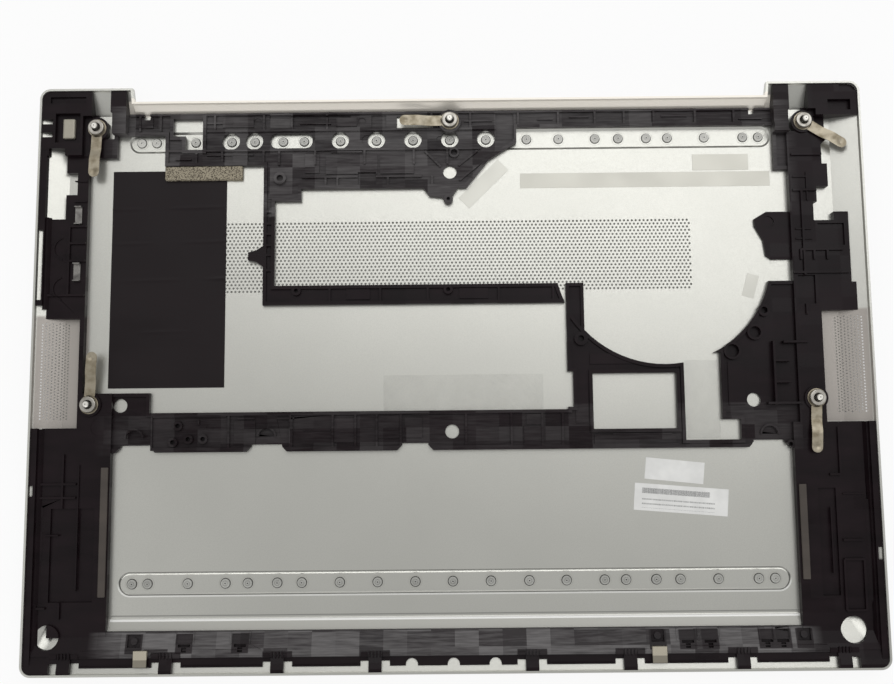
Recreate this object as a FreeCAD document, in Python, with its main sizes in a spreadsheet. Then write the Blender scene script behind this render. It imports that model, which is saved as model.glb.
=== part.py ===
import FreeCAD, Part
import math
import os
import Sketcher

# Bottom tray of a slim 14 inch computer, lying on its rubber feet with the inner side up.
# Millimetres and degrees.  X runs along the long side, +Y to the hinge side, +Z up.
# The origin is under the middle of the tray, on the table.

DRIVING_SIZES = {
    # thin metal shell
    "case_width": 315.0,
    "case_depth": 220.0,
    "rim_level": 8.5,
    "belt_level": 6.1,
    "underside_level": 1.6,
    "shell_thickness": 0.8,
    "corner_radius": 4.0,
    "side_slope": 10.0,
    "front_slope": 19.5,
    "rear_slope": 3.6,
    "ear_length": 35.6,
    "ear_reach": 5.4,
    "ear_step": 0.6,
    # perforations
    "vent_width": 182.0,
    "vent_depth": 27.0,
    "vent_pitch": 3.0,
    "vent_slot_width": 1.0,
    "grille_length": 36.0,
    "grille_inset": 3.4,
    "grille_pitch": 2.3,
    "grille_slot_width": 0.9,
    "grille_slots": 5,
    # rubber feet and the plastic strips whose pins are staked over inside
    "foot_end_margin": 33.2,
    "foot_channel_width": 8.4,
    "foot_channel_depth": 0.6,
    "rear_foot_from_rear": 19.9,
    "front_foot_from_front": 32.0,
    "foot_width": 11.4,
    "strip_width": 6.0,
    "strip_thickness": 0.5,
    "stake_radius": 0.9,
    "stake_head_radius": 1.7,
    "stake_head_height": 0.8,
    "stake_clearance": 0.1,
    # moulded inner frame
    "plate_thickness": 1.2,
    "lip_height": 0.9,
    "lip_width": 1.3,
    "rib_width": 0.8,
    "column_height": 2.8,
    "wall_height": 5.4,
    "wall_band": 3.2,
    "fan_radius": 41.3,
    "fan_x": 80.5,
    "fan_y": 43.0,
    "front_band_rise": 3.8,
    "hook_width": 4.7,
    "hook_gap": 3.0,
    "hook_thickness": 1.6,
    "hook_nose": 1.0,
    # captive screws in their sleeves
    "sleeve_radius": 3.0,
    "sleeve_flange_radius": 3.8,
    "sleeve_flange_thickness": 0.5,
    "sleeve_top_level": 8.0,
    "sleeve_bore_radius": 1.5,
    "sleeve_seat_thickness": 1.0,
    "sleeve_clearance": 0.1,
    "boss_radius": 4.4,
    "boss_top_level": 6.0,
    "screw_head_radius": 2.3,
    "screw_head_height": 1.1,
    "screw_thread_radius": 1.25,
    "screw_shank_radius": 1.05,
    "screw_reach": 2.2,
    "screw_clearance": 0.1,
    # pressed earthing springs
    "spring_thickness": 0.3,
    "spring_width": 4.0,
    "spring_rise": 1.2,
    # films, tapes, labels and pads
    "film_thickness": 0.15,
    "tape_thickness": 0.1,
    "foam_thickness": 1.8,
    "rail_thickness": 0.8,
    "gasket_thickness": 1.4,
    "clip_thickness": 0.4,
    "seat_clearance": 0.1,
}


class Size:
    """A length that keeps the sheet expression it was worked out from."""

    def __init__(self, value, text):
        self.value = float(value)
        self.text = text

    def __add__(self, other):
        other = as_size(other)
        return Size(self.value + other.value, f"({self.text} + {other.text})")

    def __sub__(self, other):
        other = as_size(other)
        return Size(self.value - other.value, f"({self.text} - {other.text})")

    def __mul__(self, other):
        other = as_size(other)
        return Size(self.value * other.value, f"({self.text} * {other.text})")

    def __truediv__(self, other):
        other = as_size(other)
        return Size(self.value / other.value, f"({self.text} / {other.text})")

    def __radd__(self, other):
        return as_size(other) + self

    def __rsub__(self, other):
        return as_size(other) - self

    def __neg__(self):
        return Size(-self.value, f"(0 - {self.text})")

    __rmul__ = __mul__


def as_size(number):
    """A plain number as a Size, and a Size as it is."""
    if isinstance(number, Size):
        return number
    return Size(number, f"({number})")


class DrivingSheet:
    """The spreadsheet of driving sizes: each one is read as an attribute."""

    def __init__(self, document, sizes):
        self.cells = document.addObject("Spreadsheet::Sheet", "sizes")
        for row, (alias, value) in enumerate(sizes.items(), start=1):
            self.cells.set(f"A{row}", alias)
            self.cells.set(f"B{row}", str(value))
            self.cells.setAlias(f"B{row}", alias)
            setattr(self, alias, Size(value, f"sizes.{alias}"))
        document.recompute()


doc = FreeCAD.newDocument("tray")
s = DrivingSheet(doc, DRIVING_SIZES)
names_used = {}


def own_name(name):
    """A document name that no other object has."""
    names_used[name] = names_used.get(name, 0) + 1
    return name if names_used[name] == 1 else f"{name}_{names_used[name]}"


# Places in the plan.  The layout was drawn on a tray of this size, and follows the real one.

PLAN_WIDTH = 315.0
PLAN_DEPTH = 220.0


def across(x):
    """A place along the width, measured from the middle."""
    return s.case_width * (x / PLAN_WIDTH)


def along(y):
    """A place along the depth, measured from the middle."""
    return s.case_depth * (y / PLAN_DEPTH)


def left(distance):
    """A place at a distance in from the left side."""
    return across(distance - PLAN_WIDTH / 2)


def right(distance):
    return across(PLAN_WIDTH / 2 - distance)


def front(distance):
    return along(distance - PLAN_DEPTH / 2)


def rear(distance):
    return along(PLAN_DEPTH / 2 - distance)


def plan(points):
    """An outline given by its places."""
    return [(across(x), along(y)) for x, y in points]


# True distances from the sides, for what belongs to the shell's own section.

def from_left(distance):
    return -s.case_width / 2 + distance


def from_right(distance):
    return s.case_width / 2 - distance


def from_front(distance):
    return -s.case_depth / 2 + distance


def from_rear(distance):
    return s.case_depth / 2 - distance


floor_level = s.underside_level + s.shell_thickness
plate_level = floor_level + s.plate_thickness
lip_level = plate_level + s.lip_height
column_level = floor_level + s.column_height
wall_level = floor_level + s.wall_height
channel_floor_level = floor_level - s.foot_channel_depth
ridge_level = s.underside_level - s.foot_channel_depth
ear_slope = s.ear_reach + s.rear_slope


# Small builders.  Each makes one object whose sizes are bound to the sheet.

def bind(item, prop, size):
    setattr_path(item, prop, as_size(size).value)
    item.setExpression(prop, as_size(size).text)


def setattr_path(item, prop, value):
    if prop.startswith("Placement"):
        place = item.Placement
        setattr(place.Base, prop[-1], value)
        item.Placement = place
    else:
        setattr(item, prop, value)


def put_at(item, x=0, y=0, z=0):
    for axis, size in zip("xyz", (x, y, z)):
        bind(item, f"Placement.Base.{axis}", size)
    return item


def block(name, x_range, y_range, z_range):
    """A box between two places on each axis."""
    item = doc.addObject("Part::Box", own_name(name))
    for prop, (low, high) in (("Length", x_range), ("Width", y_range), ("Height", z_range)):
        bind(item, prop, as_size(high) - low)
    return put_at(item, x_range[0], y_range[0], z_range[0])


def turned_block(name, center, length, width, z_range, angle):
    """A flat piece about its centre, turned by an angle in the plan."""
    item = doc.addObject("Part::Box", own_name(name))
    bind(item, "Length", length)
    bind(item, "Width", width)
    bind(item, "Height", as_size(z_range[1]) - z_range[0])
    item.Placement = FreeCAD.Placement(FreeCAD.Vector(), FreeCAD.Rotation(FreeCAD.Vector(0, 0, 1), angle))
    cosine = math.cos(math.radians(angle))
    sine = math.sin(math.radians(angle))
    half_length = as_size(length) / 2
    half_width = as_size(width) / 2
    x = center[0] - half_length * cosine + half_width * sine
    y = center[1] - half_length * sine - half_width * cosine
    return put_at(item, x, y, z_range[0])


def post(name, x, y, radius, z_range):
    """An upright cylinder."""
    item = doc.addObject("Part::Cylinder", own_name(name))
    bind(item, "Radius", radius)
    bind(item, "Height", as_size(z_range[1]) - z_range[0])
    return put_at(item, x, y, z_range[0])


def facet_post(name, x, y, radius, z_range, sides=8):
    """An upright post with flat sides, for what repeats many times."""
    item = doc.addObject("Part::Prism", own_name(name))
    item.Polygon = sides
    bind(item, "Circumradius", radius)
    bind(item, "Height", as_size(z_range[1]) - z_range[0])
    return put_at(item, x, y, z_range[0])


def profile_along_x(name, profile, x_range):
    """A piece of one side profile, given as (y, z), from one place to another across the tray."""
    sketch = outline(name + "_profile", profile, 0.0)
    sketch.setExpression("Placement.Base.z", None)
    sketch.Placement = FreeCAD.Placement(FreeCAD.Vector(), FreeCAD.Rotation(FreeCAD.Vector(1, 1, 1), 120))
    bind(sketch, "Placement.Base.x", x_range[0])
    item = doc.addObject("Part::Extrusion", own_name(name))
    item.Base = sketch
    item.DirMode = "Custom"
    item.Dir = FreeCAD.Vector(1, 0, 0)
    item.Solid = True
    bind(item, "LengthFwd", as_size(x_range[1]) - x_range[0])
    return item


def outline(name, corners, level):
    """A closed sketch at a level.  A corner is (x, y), or (x, y, radius) where it is square and rounded."""
    sketch = doc.addObject("Sketcher::SketchObject", own_name(name))
    stops = []
    count = len(corners)
    for index, corner in enumerate(corners):
        x, y = as_size(corner[0]), as_size(corner[1])
        if len(corner) == 2:
            stops.append([(x, y)])
            continue
        radius = as_size(corner[2])
        ends = []
        for neighbour in (corners[index - 1], corners[(index + 1) % count]):
            across = as_size(neighbour[0]).value - x.value
            along = as_size(neighbour[1]).value - y.value
            if abs(across) > abs(along):
                ends.append((x + radius * math.copysign(1, across), y))
            else:
                ends.append((x, y + radius * math.copysign(1, along)))
        stops.append(ends + [radius])
    shapes = []
    joins = []
    bound = []
    for index, stop in enumerate(stops):
        after = stops[(index + 1) % count]
        if len(stop) == 3:
            begin, end, radius = stop
            corner_x = as_size(corners[index][0]).value
            corner_y = as_size(corners[index][1]).value
            center = (begin[0].value + end[0].value - corner_x, begin[1].value + end[1].value - corner_y)
            middle = (
                center[0] + (corner_x - center[0]) * math.sqrt(0.5),
                center[1] + (corner_y - center[1]) * math.sqrt(0.5),
            )
            arc = Part.Arc(
                FreeCAD.Vector(begin[0].value, begin[1].value, 0),
                FreeCAD.Vector(middle[0], middle[1], 0),
                FreeCAD.Vector(end[0].value, end[1].value, 0),
            )
            shapes.append((arc, begin, end, radius))
        start = stop[1] if len(stop) == 3 else stop[0]
        finish = after[0]
        line = Part.LineSegment(
            FreeCAD.Vector(start[0].value, start[1].value, 0),
            FreeCAD.Vector(finish[0].value, finish[1].value, 0),
        )
        shapes.append((line, start, finish, None))
    sketch.addGeometry([shape[0] for shape in shapes], False)
    total = len(shapes)
    ends = []
    for index, (shape, start, finish, radius) in enumerate(shapes):
        first = sketch.getPoint(index, 1)
        straight = math.hypot(first.x - start[0].value, first.y - start[1].value) < 1e-6
        ends.append((1, 2) if straight else (2, 1))
    for index, (shape, start, finish, radius) in enumerate(shapes):
        after = (index + 1) % total
        joins.append(Sketcher.Constraint("Coincident", index, ends[index][1], after, ends[after][0]))
        joins.append(Sketcher.Constraint("DistanceX", -1, 1, index, ends[index][0], start[0].value))
        bound.append((len(joins) - 1, start[0]))
        joins.append(Sketcher.Constraint("DistanceY", -1, 1, index, ends[index][0], start[1].value))
        bound.append((len(joins) - 1, start[1]))
        if radius is not None:
            joins.append(Sketcher.Constraint("Radius", index, radius.value))
            bound.append((len(joins) - 1, radius))
    sketch.addConstraint(joins)
    for number, size in bound:
        sketch.setExpression(f"Constraints[{number}]", size.text)
    bind(sketch, "Placement.Base.z", level)
    return sketch


def raised(name, corners, z_range):
    """A plan outline raised from one level to another."""
    item = doc.addObject("Part::Extrusion", own_name(name))
    item.Base = outline(name + "_outline", corners, z_range[0])
    item.DirMode = "Custom"
    item.Dir = FreeCAD.Vector(0, 0, 1)
    item.Solid = True
    bind(item, "LengthFwd", as_size(z_range[1]) - z_range[0])
    return item


def lofted(name, low_corners, low_level, high_corners, high_level):
    """Straight walls between two outlines with the same number of corners."""
    item = doc.addObject("Part::Loft", own_name(name))
    item.Sections = [
        outline(name + "_low", low_corners, low_level),
        outline(name + "_high", high_corners, high_level),
    ]
    item.Solid = True
    item.Ruled = True
    return item


def fused(name, items):
    """One solid from several that touch or overlap."""
    if len(items) == 1:
        return items[0]
    item = doc.addObject("Part::MultiFuse", own_name(name))
    item.Shapes = items
    item.Refine = True
    return item


def cut(name, base, tools):
    """A solid less several others."""
    item = doc.addObject("Part::Cut", own_name(name))
    item.Base = base
    item.Tool = fused(name + "_tools", tools)
    item.Refine = True
    return item


def common(name, base, tool):
    """What two solids share."""
    item = doc.addObject("Part::Common", own_name(name))
    item.Base = base
    item.Tool = tool
    item.Refine = True
    return item


def rectangle(x_range, y_range, radius=None):
    """The corners of an upright rectangle, rounded where a radius is given."""
    corners = [
        (x_range[0], y_range[0]),
        (x_range[1], y_range[0]),
        (x_range[1], y_range[1]),
        (x_range[0], y_range[1]),
    ]
    if radius is None:
        return corners
    return [corner + (radius,) for corner in corners]


def grown(corners, by):
    """A polygon with each side moved outwards.  The polygon runs anticlockwise."""
    result = []
    count = len(corners)
    for index, corner in enumerate(corners):
        before = corners[index - 1]
        after = corners[(index + 1) % count]
        here = (as_size(corner[0]).value, as_size(corner[1]).value)
        back = (as_size(before[0]).value, as_size(before[1]).value)
        ahead = (as_size(after[0]).value, as_size(after[1]).value)
        first = side_normal(back, here)
        second = side_normal(here, ahead)
        scale = 1 + first[0] * second[0] + first[1] * second[1]
        shift_x = round((first[0] + second[0]) / scale, 4)
        shift_y = round((first[1] + second[1]) / scale, 4)
        result.append((corner[0] + as_size(by) * shift_x, corner[1] + as_size(by) * shift_y))
    return result


def side_normal(begin, end):
    """The outward unit normal of one side of an anticlockwise polygon."""
    across = end[0] - begin[0]
    along = end[1] - begin[1]
    length = math.hypot(across, along)
    return (along / length, -across / length)


# The shell

def tray_corners(side, fore, aft, ear_aft, radius, flank=0):
    """The plan of the tray, drawn in by a distance on each side.  The ears stand back at the rear corners."""
    ear = s.ear_length - flank
    step = s.ear_length + s.ear_step - flank
    return [
        (from_left(side), from_front(fore), radius),
        (from_right(side), from_front(fore), radius),
        (from_right(side), from_rear(ear_aft), radius),
        (from_right(ear), from_rear(ear_aft)),
        (from_right(step), from_rear(s.ear_reach + aft)),
        (from_left(step), from_rear(s.ear_reach + aft)),
        (from_left(ear), from_rear(ear_aft)),
        (from_left(side), from_rear(ear_aft), radius),
    ]


def tray_volume(name, inset, low_level, belt_level, top_level, radius):
    """The filled form of the tray: a floor, sloping sides and an upright rim."""
    belt = tray_corners(inset, inset, inset, inset, radius, flank=inset)
    extra = inset / 4
    low = tray_corners(
        s.side_slope + extra,
        s.front_slope + extra,
        s.rear_slope + extra,
        ear_slope + extra,
        radius,
        flank=inset,
    )
    slopes = lofted(name + "_slopes", low, low_level, belt, belt_level)
    rim = raised(name + "_rim", belt, (belt_level, top_level))
    return fused(name, [slopes, rim])


def build_cavity():
    """The space inside the shell.  The inner frame is trimmed by it, so it seats on the slopes."""
    inner_belt = s.belt_level + s.shell_thickness * 0.6
    return tray_volume(
        "cavity",
        s.shell_thickness,
        floor_level,
        inner_belt,
        s.rim_level + 4,
        s.corner_radius - s.shell_thickness,
    )


def foot_plan(y, width, margin=0.0):
    """The long rounded plan of a foot channel."""
    half = as_size(width) / 2
    ends = s.foot_end_margin - margin
    return rectangle((from_left(ends), from_right(ends)), (y - half, y + half), half * 0.96)


REAR_STAKES = (
    -119.8, -114, -98.8, -84.8, -75.8, -64.8, -56.6, -42.5, -28.5, -14.3, 0,
    14, 29.8, 42.2, 56.4, 65.4, 76.3, 84.5, 98.8, 113.8, 119.8,
)
FRONT_STAKES = (
    -119.5, -113.7, -98.8, -84.8, -76.5, -65.6, -56.5, -42.4, -28.4, -14.4, -0.5,
    13.6, 27.8, 41.6, 55.7, 63.6, 74.8, 83.7, 97.8, 112.7, 118.8,
)
STAKE_SPAN = 124.3

rear_foot_y = from_rear(s.rear_foot_from_rear)
front_foot_y = from_front(s.front_foot_from_front)


def stake_x(place):
    """A stake's place along its foot, which it follows when the foot changes length."""
    return (s.case_width / 2 - s.foot_end_margin) * (place / STAKE_SPAN)


def vent_slots():
    """Two rows of long vents over the cooling area."""
    count = int(s.vent_width.value / s.vent_pitch.value)
    half = s.vent_slot_width / 2
    middle = along(44.2)
    cuts = []
    for index in range(count):
        x = s.vent_pitch * (index - (count - 1) / 2)
        for low, high in (
            (middle - s.vent_depth / 2, middle - half),
            (middle + half, middle + s.vent_depth / 2),
        ):
            cuts.append(block("vent", (x - half, x + half), (low, high), (s.underside_level - 1, floor_level + 1)))
    return cuts


def grille_slots():
    """Long slots over each loudspeaker."""
    cuts = []
    half = s.grille_slot_width / 2
    y_range = (along(1.4) - s.grille_length / 2, along(1.4) + s.grille_length / 2)
    levels = (s.underside_level - 1, s.rim_level)
    for index in range(int(s.grille_slots.value)):
        distance = s.grille_inset + s.grille_pitch * index
        for x in (from_left(distance), from_right(distance)):
            cuts.append(block("grille", (x - half, x + half), y_range, levels))
    return cuts


def screw_places():
    """The five captive screws: four on a rectangle and one in the middle of the rear."""
    return {
        "rear_left": (left(21.5), rear(15.0)),
        "rear_middle": (across(0.0), rear(13.4)),
        "rear_right": (right(21.5), rear(15.0)),
        "front_left": (left(21.5), along(-11.6)),
        "front_right": (right(21.5), along(-11.6)),
    }


def build_bottom_shell(cavity):
    """The thin metal tray with embossed foot channels, vents and grilles."""
    body = tray_volume(
        "tray_body", as_size(0.0), s.underside_level, s.belt_level, s.rim_level, s.corner_radius
    )
    ridges = []
    channels = []
    holes = []
    for y, stakes in ((rear_foot_y, REAR_STAKES), (front_foot_y, FRONT_STAKES)):
        outer_width = s.foot_channel_width + s.shell_thickness * 2
        ridges.append(
            lofted(
                "ridge",
                foot_plan(y, outer_width - s.foot_channel_depth * 2, -s.foot_channel_depth),
                ridge_level,
                foot_plan(y, outer_width),
                s.underside_level,
            )
        )
        channels.append(
            lofted(
                "channel",
                foot_plan(y, s.foot_channel_width - s.foot_channel_depth * 3, -s.foot_channel_depth),
                channel_floor_level,
                foot_plan(y, s.foot_channel_width),
                floor_level,
            )
        )
        for place in stakes:
            hole_radius = s.stake_radius + s.stake_clearance
            holes.append(facet_post("stake_hole", stake_x(place), y, hole_radius, (ridge_level - 1, floor_level)))
    for x, y in screw_places().values():
        holes.append(
            post("sleeve_hole", x, y, s.sleeve_radius + s.sleeve_clearance, (s.underside_level - 1, floor_level + 1))
        )
    solid = fused("tray_with_ridges", [body] + ridges)
    return cut("bottom_shell", solid, [cavity] + channels + holes + vent_slots() + grille_slots())


# The inner frame

film_bay = plan([
    (-139.0, -7.4), (-113.8, -7.4), (-113.8, -14.9), (43.5, -14.9), (43.5, -14.0), (45.6, -14.0),
    (45.6, -0.6), (43.5, -0.6), (43.5, 25.6), (-71.8, 25.6), (-71.8, 80.2), (-110.0, 80.2),
    (-110.0, 92.5), (-128.5, 92.5), (-128.5, 83.7), (-139.0, 83.7),
])
fan_bay = plan([
    (-67.4, 33.0), (129.8, 33.0), (129.8, 76.5), (124.7, 76.5), (124.7, 94.2), (25.7, 94.2),
    (25.7, 88.3), (15.0, 81.5), (6.2, 70.7), (-57.3, 70.7), (-57.3, 66.0), (-67.4, 66.0),
])
drive_bay = plan([(52.8, -22.4), (84.3, -22.4), (84.3, -1.5), (52.8, -1.5)])
side_bay = plan([(87.2, -26.8), (107.9, -26.8), (107.9, -19.2), (101.1, -19.2), (101.1, 6.0), (87.2, 6.0)])
battery_bay = plan([(-127.7, -94.7), (127.1, -94.7), (127.1, -29.7), (-127.7, -29.7)])
tee_window = plan([
    (-153.6, 59.5), (-147.4, 59.5), (-147.4, 69.0), (-143.2, 69.0),
    (-143.2, 77.7), (-147.4, 77.7), (-147.4, 86.7), (-153.6, 86.7),
])
right_outer_window = plan([
    (154.2, 21.4), (166.5, 21.4), (166.5, 97.0), (145.0, 97.0), (145.0, 88.0), (142.8, 86.0),
    (142.8, 78.4), (144.8, 78.4), (144.8, 69.5), (140.2, 69.5), (140.2, 63.5), (138.7, 63.5),
    (138.7, 56.2), (146.3, 56.2), (146.3, 59.5), (151.8, 59.5), (151.8, 32.3), (154.2, 32.3),
])
rear_slot_window = plan([
    (-107.0, 92.0), (-102.3, 92.0), (-102.3, 86.6), (-95.6, 86.6), (-95.6, 99.0), (-107.0, 99.0),
])
left_grille_window = plan([(-166.5, -20.3), (-140.7, -20.3), (-140.7, 21.0), (-154.0, 21.0), (-154.0, 26.0), (-166.5, 26.0)])
right_grille_window = plan([(139.8, -20.5), (166.5, -20.5), (166.5, 21.5), (139.8, 21.5)])

through = (channel_floor_level - 0.2, s.rim_level + 3)


def plan_block(name, x_range, y_range, z_range):
    """A box given by its places in the plan."""
    return block(name, (across(x_range[0]), across(x_range[1])), (along(y_range[0]), along(y_range[1])), z_range)


def front_band():
    """The band along the front edge, whose top climbs with the sloping floor."""
    rear_side = from_front(15.3)
    step = from_front(7.0)
    profile = [
        (rear_side, floor_level),
        (rear_side, lip_level),
        (from_front(13.5), lip_level + s.front_band_rise * 0.18),
        (step, lip_level + s.front_band_rise * 0.72),
        (step, lip_level + s.front_band_rise * 0.63),
        (from_front(2.0), lip_level + s.front_band_rise),
        (from_front(-4), lip_level + s.front_band_rise),
        (from_front(-4), floor_level),
    ]
    return profile_along_x("front_band", profile, (left(-4), right(-4)))


def frame_plates():
    """The flat levels of the moulding, before its windows are opened."""
    low = (floor_level, plate_level)
    middle = (floor_level, column_level)
    high = (floor_level, wall_level)
    return [
        plan_block("plate", (-153.5, 153.5), (-100.0, 101.0), low),
        plan_block("left_column", (-161.5, -139.0), (-10.0, 114.0), middle),
        plan_block("left_side", (-161.5, -127.7), (-114.0, -7.4), middle),
        plan_block("right_column", (129.8, 161.5), (-30.0, 91.4), middle),
        plan_block("right_side", (127.1, 161.5), (-114.0, -20.5), middle),
        block("left_wall", (from_left(-4), from_left(s.wall_band)), (front(-4), rear(-4)), high),
        block("right_wall", (from_right(s.wall_band), from_right(-4)), (front(-4), rear(-4)), high),
        plan_block("left_ear", (-161.5, -137.8), (84.0, 114.0), high),
        plan_block("right_ear", (137.8, 161.5), (97.0, 114.0), high),
        plan_block("left_ear_bar", (-130.5, -124.5), (92.5, 114.0), high),
        plan_block("right_ear_bar", (124.5, 130.5), (91.0, 114.0), high),
        front_band(),
    ]


def frame_lips():
    """Raised borders round the bays."""
    levels = (floor_level, lip_level)
    lips = [
        raised(name + "_lip", grown(bay, s.lip_width), levels)
        for name, bay in (
            ("film_bay", film_bay),
            ("fan_bay", fan_bay),
            ("drive_bay", drive_bay),
            ("side_bay", side_bay),
            ("battery_bay", battery_bay),
            ("rear_slot", rear_slot_window),
        )
    ]
    lips.append(post("fan_lip", across(s.fan_x), along(s.fan_y), s.fan_radius + s.lip_width, levels))
    return lips


def cross_rib(x, y_low, y_high):
    """A rib that runs front to rear."""
    half = s.rib_width / 2
    return block("rib", (across(x) - half, across(x) + half), (along(y_low), along(y_high)), (floor_level, lip_level))


def long_rib(y, x_low, x_high):
    """A rib that runs side to side."""
    half = s.rib_width / 2
    return block("rib", (across(x_low), across(x_high)), (along(y) - half, along(y) + half), (floor_level, lip_level))


def frame_ribs():
    """The stiffening ribs of the plate."""
    ribs = [
        long_rib(100.6, -124.0, 124.0),
        long_rib(94.6, 25.7, 124.0),
        long_rib(94.0, -94.0, 25.7),
        long_rib(86.2, -110.0, 12.0),
        long_rib(75.4, -57.3, -11.0),
        long_rib(-28.4, -133.0, 84.3),
        long_rib(-15.6, -113.8, 43.5),
    ]
    for x in (26.5, 42.0, 56.2, 67.5, 79.0, 95.0, 110.0):
        ribs.append(cross_rib(x, 94.2, 101.0))
    for x in (-120.0, -112.0, -91.0, -72.0, -61.0, -47.5, -7.0, 8.0):
        ribs.append(cross_rib(x, 94.0, 101.0))
    for x in (-98.0, -88.0, -72.0, -66.0, -52.0, -33.0, -14.0, -1.0):
        ribs.append(cross_rib(x, 80.2, 86.2))
    for x in (-48.0, -43.5, -24.0, -7.0):
        ribs.append(cross_rib(x, 71.0, 75.5))
    for x in (-46.3, -27.0, -9.0, 18.0, 38.7):
        ribs.append(cross_rib(x, 26.0, 32.8))
    for y in (62.0, 57.2, 53.2, 48.8, 45.0, 39.0):
        ribs.append(long_rib(y, -71.6, -67.6))
    for x in (-84.0, -61.0, -45.0, -36.5, -28.5, -19.5, 5.0, 22.0, 33.6, 41.2):
        ribs.append(cross_rib(x, -29.5, -15.0))
    return ribs


def column_ribs():
    """Ribs and combs on the two side columns, higher than the plate."""
    top = column_level + s.lip_height
    half = s.rib_width / 2
    ribs = []
    for y, x_low, x_high in (
        (44.8, 133.0, 149.0), (9.6, 124.7, 134.0), (2.6, 121.0, 127.0), (-5.4, 121.0, 127.0),
        (-13.4, 118.0, 131.0), (68.0, 131.0, 140.0), (82.0, 131.0, 142.6), (36.0, 130.0, 151.0),
        (56.6, -145.5, -139.2), (50.0, -145.5, -139.2), (43.2, -145.5, -139.2), (30.0, -157.0, -139.2),
        (92.6, -150.0, -139.2), (-41.0, -157.0, -140.0), (-46.0, -157.0, -140.0), (-86.0, -157.0, -150.0),
        (-64.0, 143.2, 150.5), (-71.0, 143.2, 150.5), (-89.3, 143.2, 150.5), (-40.0, 139.5, 143.5),
    ):
        ribs.append(
            block("column_rib", (across(x_low), across(x_high)), (along(y) - half, along(y) + half), (floor_level, top))
        )
    for x, y_low, y_high in (
        (133.0, 41.0, 45.0), (138.0, 41.0, 45.0), (143.0, 41.0, 45.0), (121.0, -14.0, 10.0),
        (134.2, 20.0, 68.0), (-145.5, 30.0, 57.0), (143.5, -40.0, -22.5), (-145.0, -90.0, -30.0),
        (143.2, -89.3, -71.0), (150.5, -89.3, -71.0),
    ):
        ribs.append(
            block("column_rib", (across(x) - half, across(x) + half), (along(y_low), along(y_high)), (floor_level, top))
        )
    return ribs


def frame_pads():
    """Low square pads and boxes moulded on the plate."""
    top = plate_level + s.lip_height / 2
    pads = []
    for x_range, y_range in (
        ((-48.0, -28.0), (76.5, 84.0)), ((-27.0, -14.0), (76.5, 84.0)), ((-56.0, -50.5), (77.0, 84.5)),
        ((-70.0, -58.0), (67.0, 71.5)), ((-84.0, -78.0), (81.5, 85.5)), ((26.7, 41.0), (-28.0, -21.0)),
        ((-44.5, -37.0), (-26.5, -17.5)), ((-28.0, -20.0), (-25.0, -16.5)), ((27.7, 33.3), (-20.5, -16.5)),
        ((-82.0, -74.0), (-27.0, -18.0)), ((103.8, 110.0), (-13.8, 2.5)), ((-18.0, -11.5), (-25.0, -17.5)),
        ((44.7, 49.5), (19.0, 30.5)), ((46.3, 51.0), (-20.0, -7.5)), ((53.0, 83.5), (-28.5, -24.5)),
        ((52.0, 70.0), (2.0, 6.0)), ((-40.0, -31.0), (27.5, 31.5)), ((3.0, 14.0), (27.5, 31.5)),
        ((-122.0, -115.0), (95.5, 99.5)), ((-88.0, -76.0), (95.5, 99.5)), ((-44.0, -36.0), (95.5, 99.5)),
    ):
        pads.append(plan_block("pad", x_range, y_range, (floor_level, top)))
    return pads


# Round bosses on the plate, as (x, y, outer radius, hole radius)
SMALL_BOSSES = (
    (-65.6, 75.0, 2.4, 1.3), (1.6, 84.5, 2.0, 1.3), (-59.0, 31.0, 1.8, 0.8), (-1.2, 31.0, 1.8, 0.8),
    (48.8, 11.7, 2.6, 1.2), (118.3, 21.8, 2.3, 1.3), (114.5, 13.5, 3.0, 2.2), (105.7, 6.5, 3.3, 2.5),
    (-103.0, -19.8, 1.8, 0.9), (-104.8, -25.9, 1.8, 0.9), (-99.0, -24.8, 1.8, 0.9), (-93.5, -24.8, 1.8, 0.9),
    (126.0, -28.7, 1.6, 0.8), (-0.8, 66.2, 1.8, 0.7),
)

# Round openings through the moulding, as (x, y, radius)
ROUND_WINDOWS = (
    (-149.2, -96.5, 4.4), (145.6, -96.2, 4.8), (-125.0, -12.0, 2.6), (-0.1, 77.0, 2.6),
    (-0.2, -22.8, 2.6), (113.3, -12.0, 2.6), (121.6, 56.0, 2.3),
)

FRONT_HOOKS = (-142.0, -105.0, -64.5, -29.0, 28.0, 63.5, 104.3, 141.0)
FRONT_ARCHES = (-15.7, -0.5, 14.7)
SQUARE_POCKETS = ((-117.0, -98.0), (73.8, -97.6), (127.2, -97.6))
LATCH_POCKETS = (-98.7, -78.3, 84.7, 92.9, 113.6, 119.2)
ROUND_STAKES = (-84.8, -75.8, -42.5, -28.5, -14.3, 0, 14)


def front_hooks():
    """Snap hooks along the front edge: each a thin tongue with a nose at its top."""
    half = s.hook_width / 2
    low = lip_level
    top = s.rim_level - 0.4
    face = from_front(s.shell_thickness)
    back = face + s.hook_thickness
    profile = [
        (face, floor_level),
        (back + s.hook_nose * 2, floor_level),
        (back + s.hook_nose * 2, low),
        (back, low + s.hook_nose),
        (back, top - s.hook_nose),
        (back + s.hook_nose, top - s.hook_nose * 0.7),
        (back, top),
        (face, top),
    ]
    return [profile_along_x("hook", profile, (across(x) - half, across(x) + half)) for x in FRONT_HOOKS]


def hook_gaps():
    """The open gaps on both sides of each hook."""
    gaps = []
    half = s.hook_width / 2
    for place in FRONT_HOOKS:
        x = across(place)
        for low, high in ((x - half - s.hook_gap, x - half), (x + half, x + half + s.hook_gap)):
            gaps.append(block("hook_gap", (low, high), (from_front(-4), front(4.6)), through))
    return gaps


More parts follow.
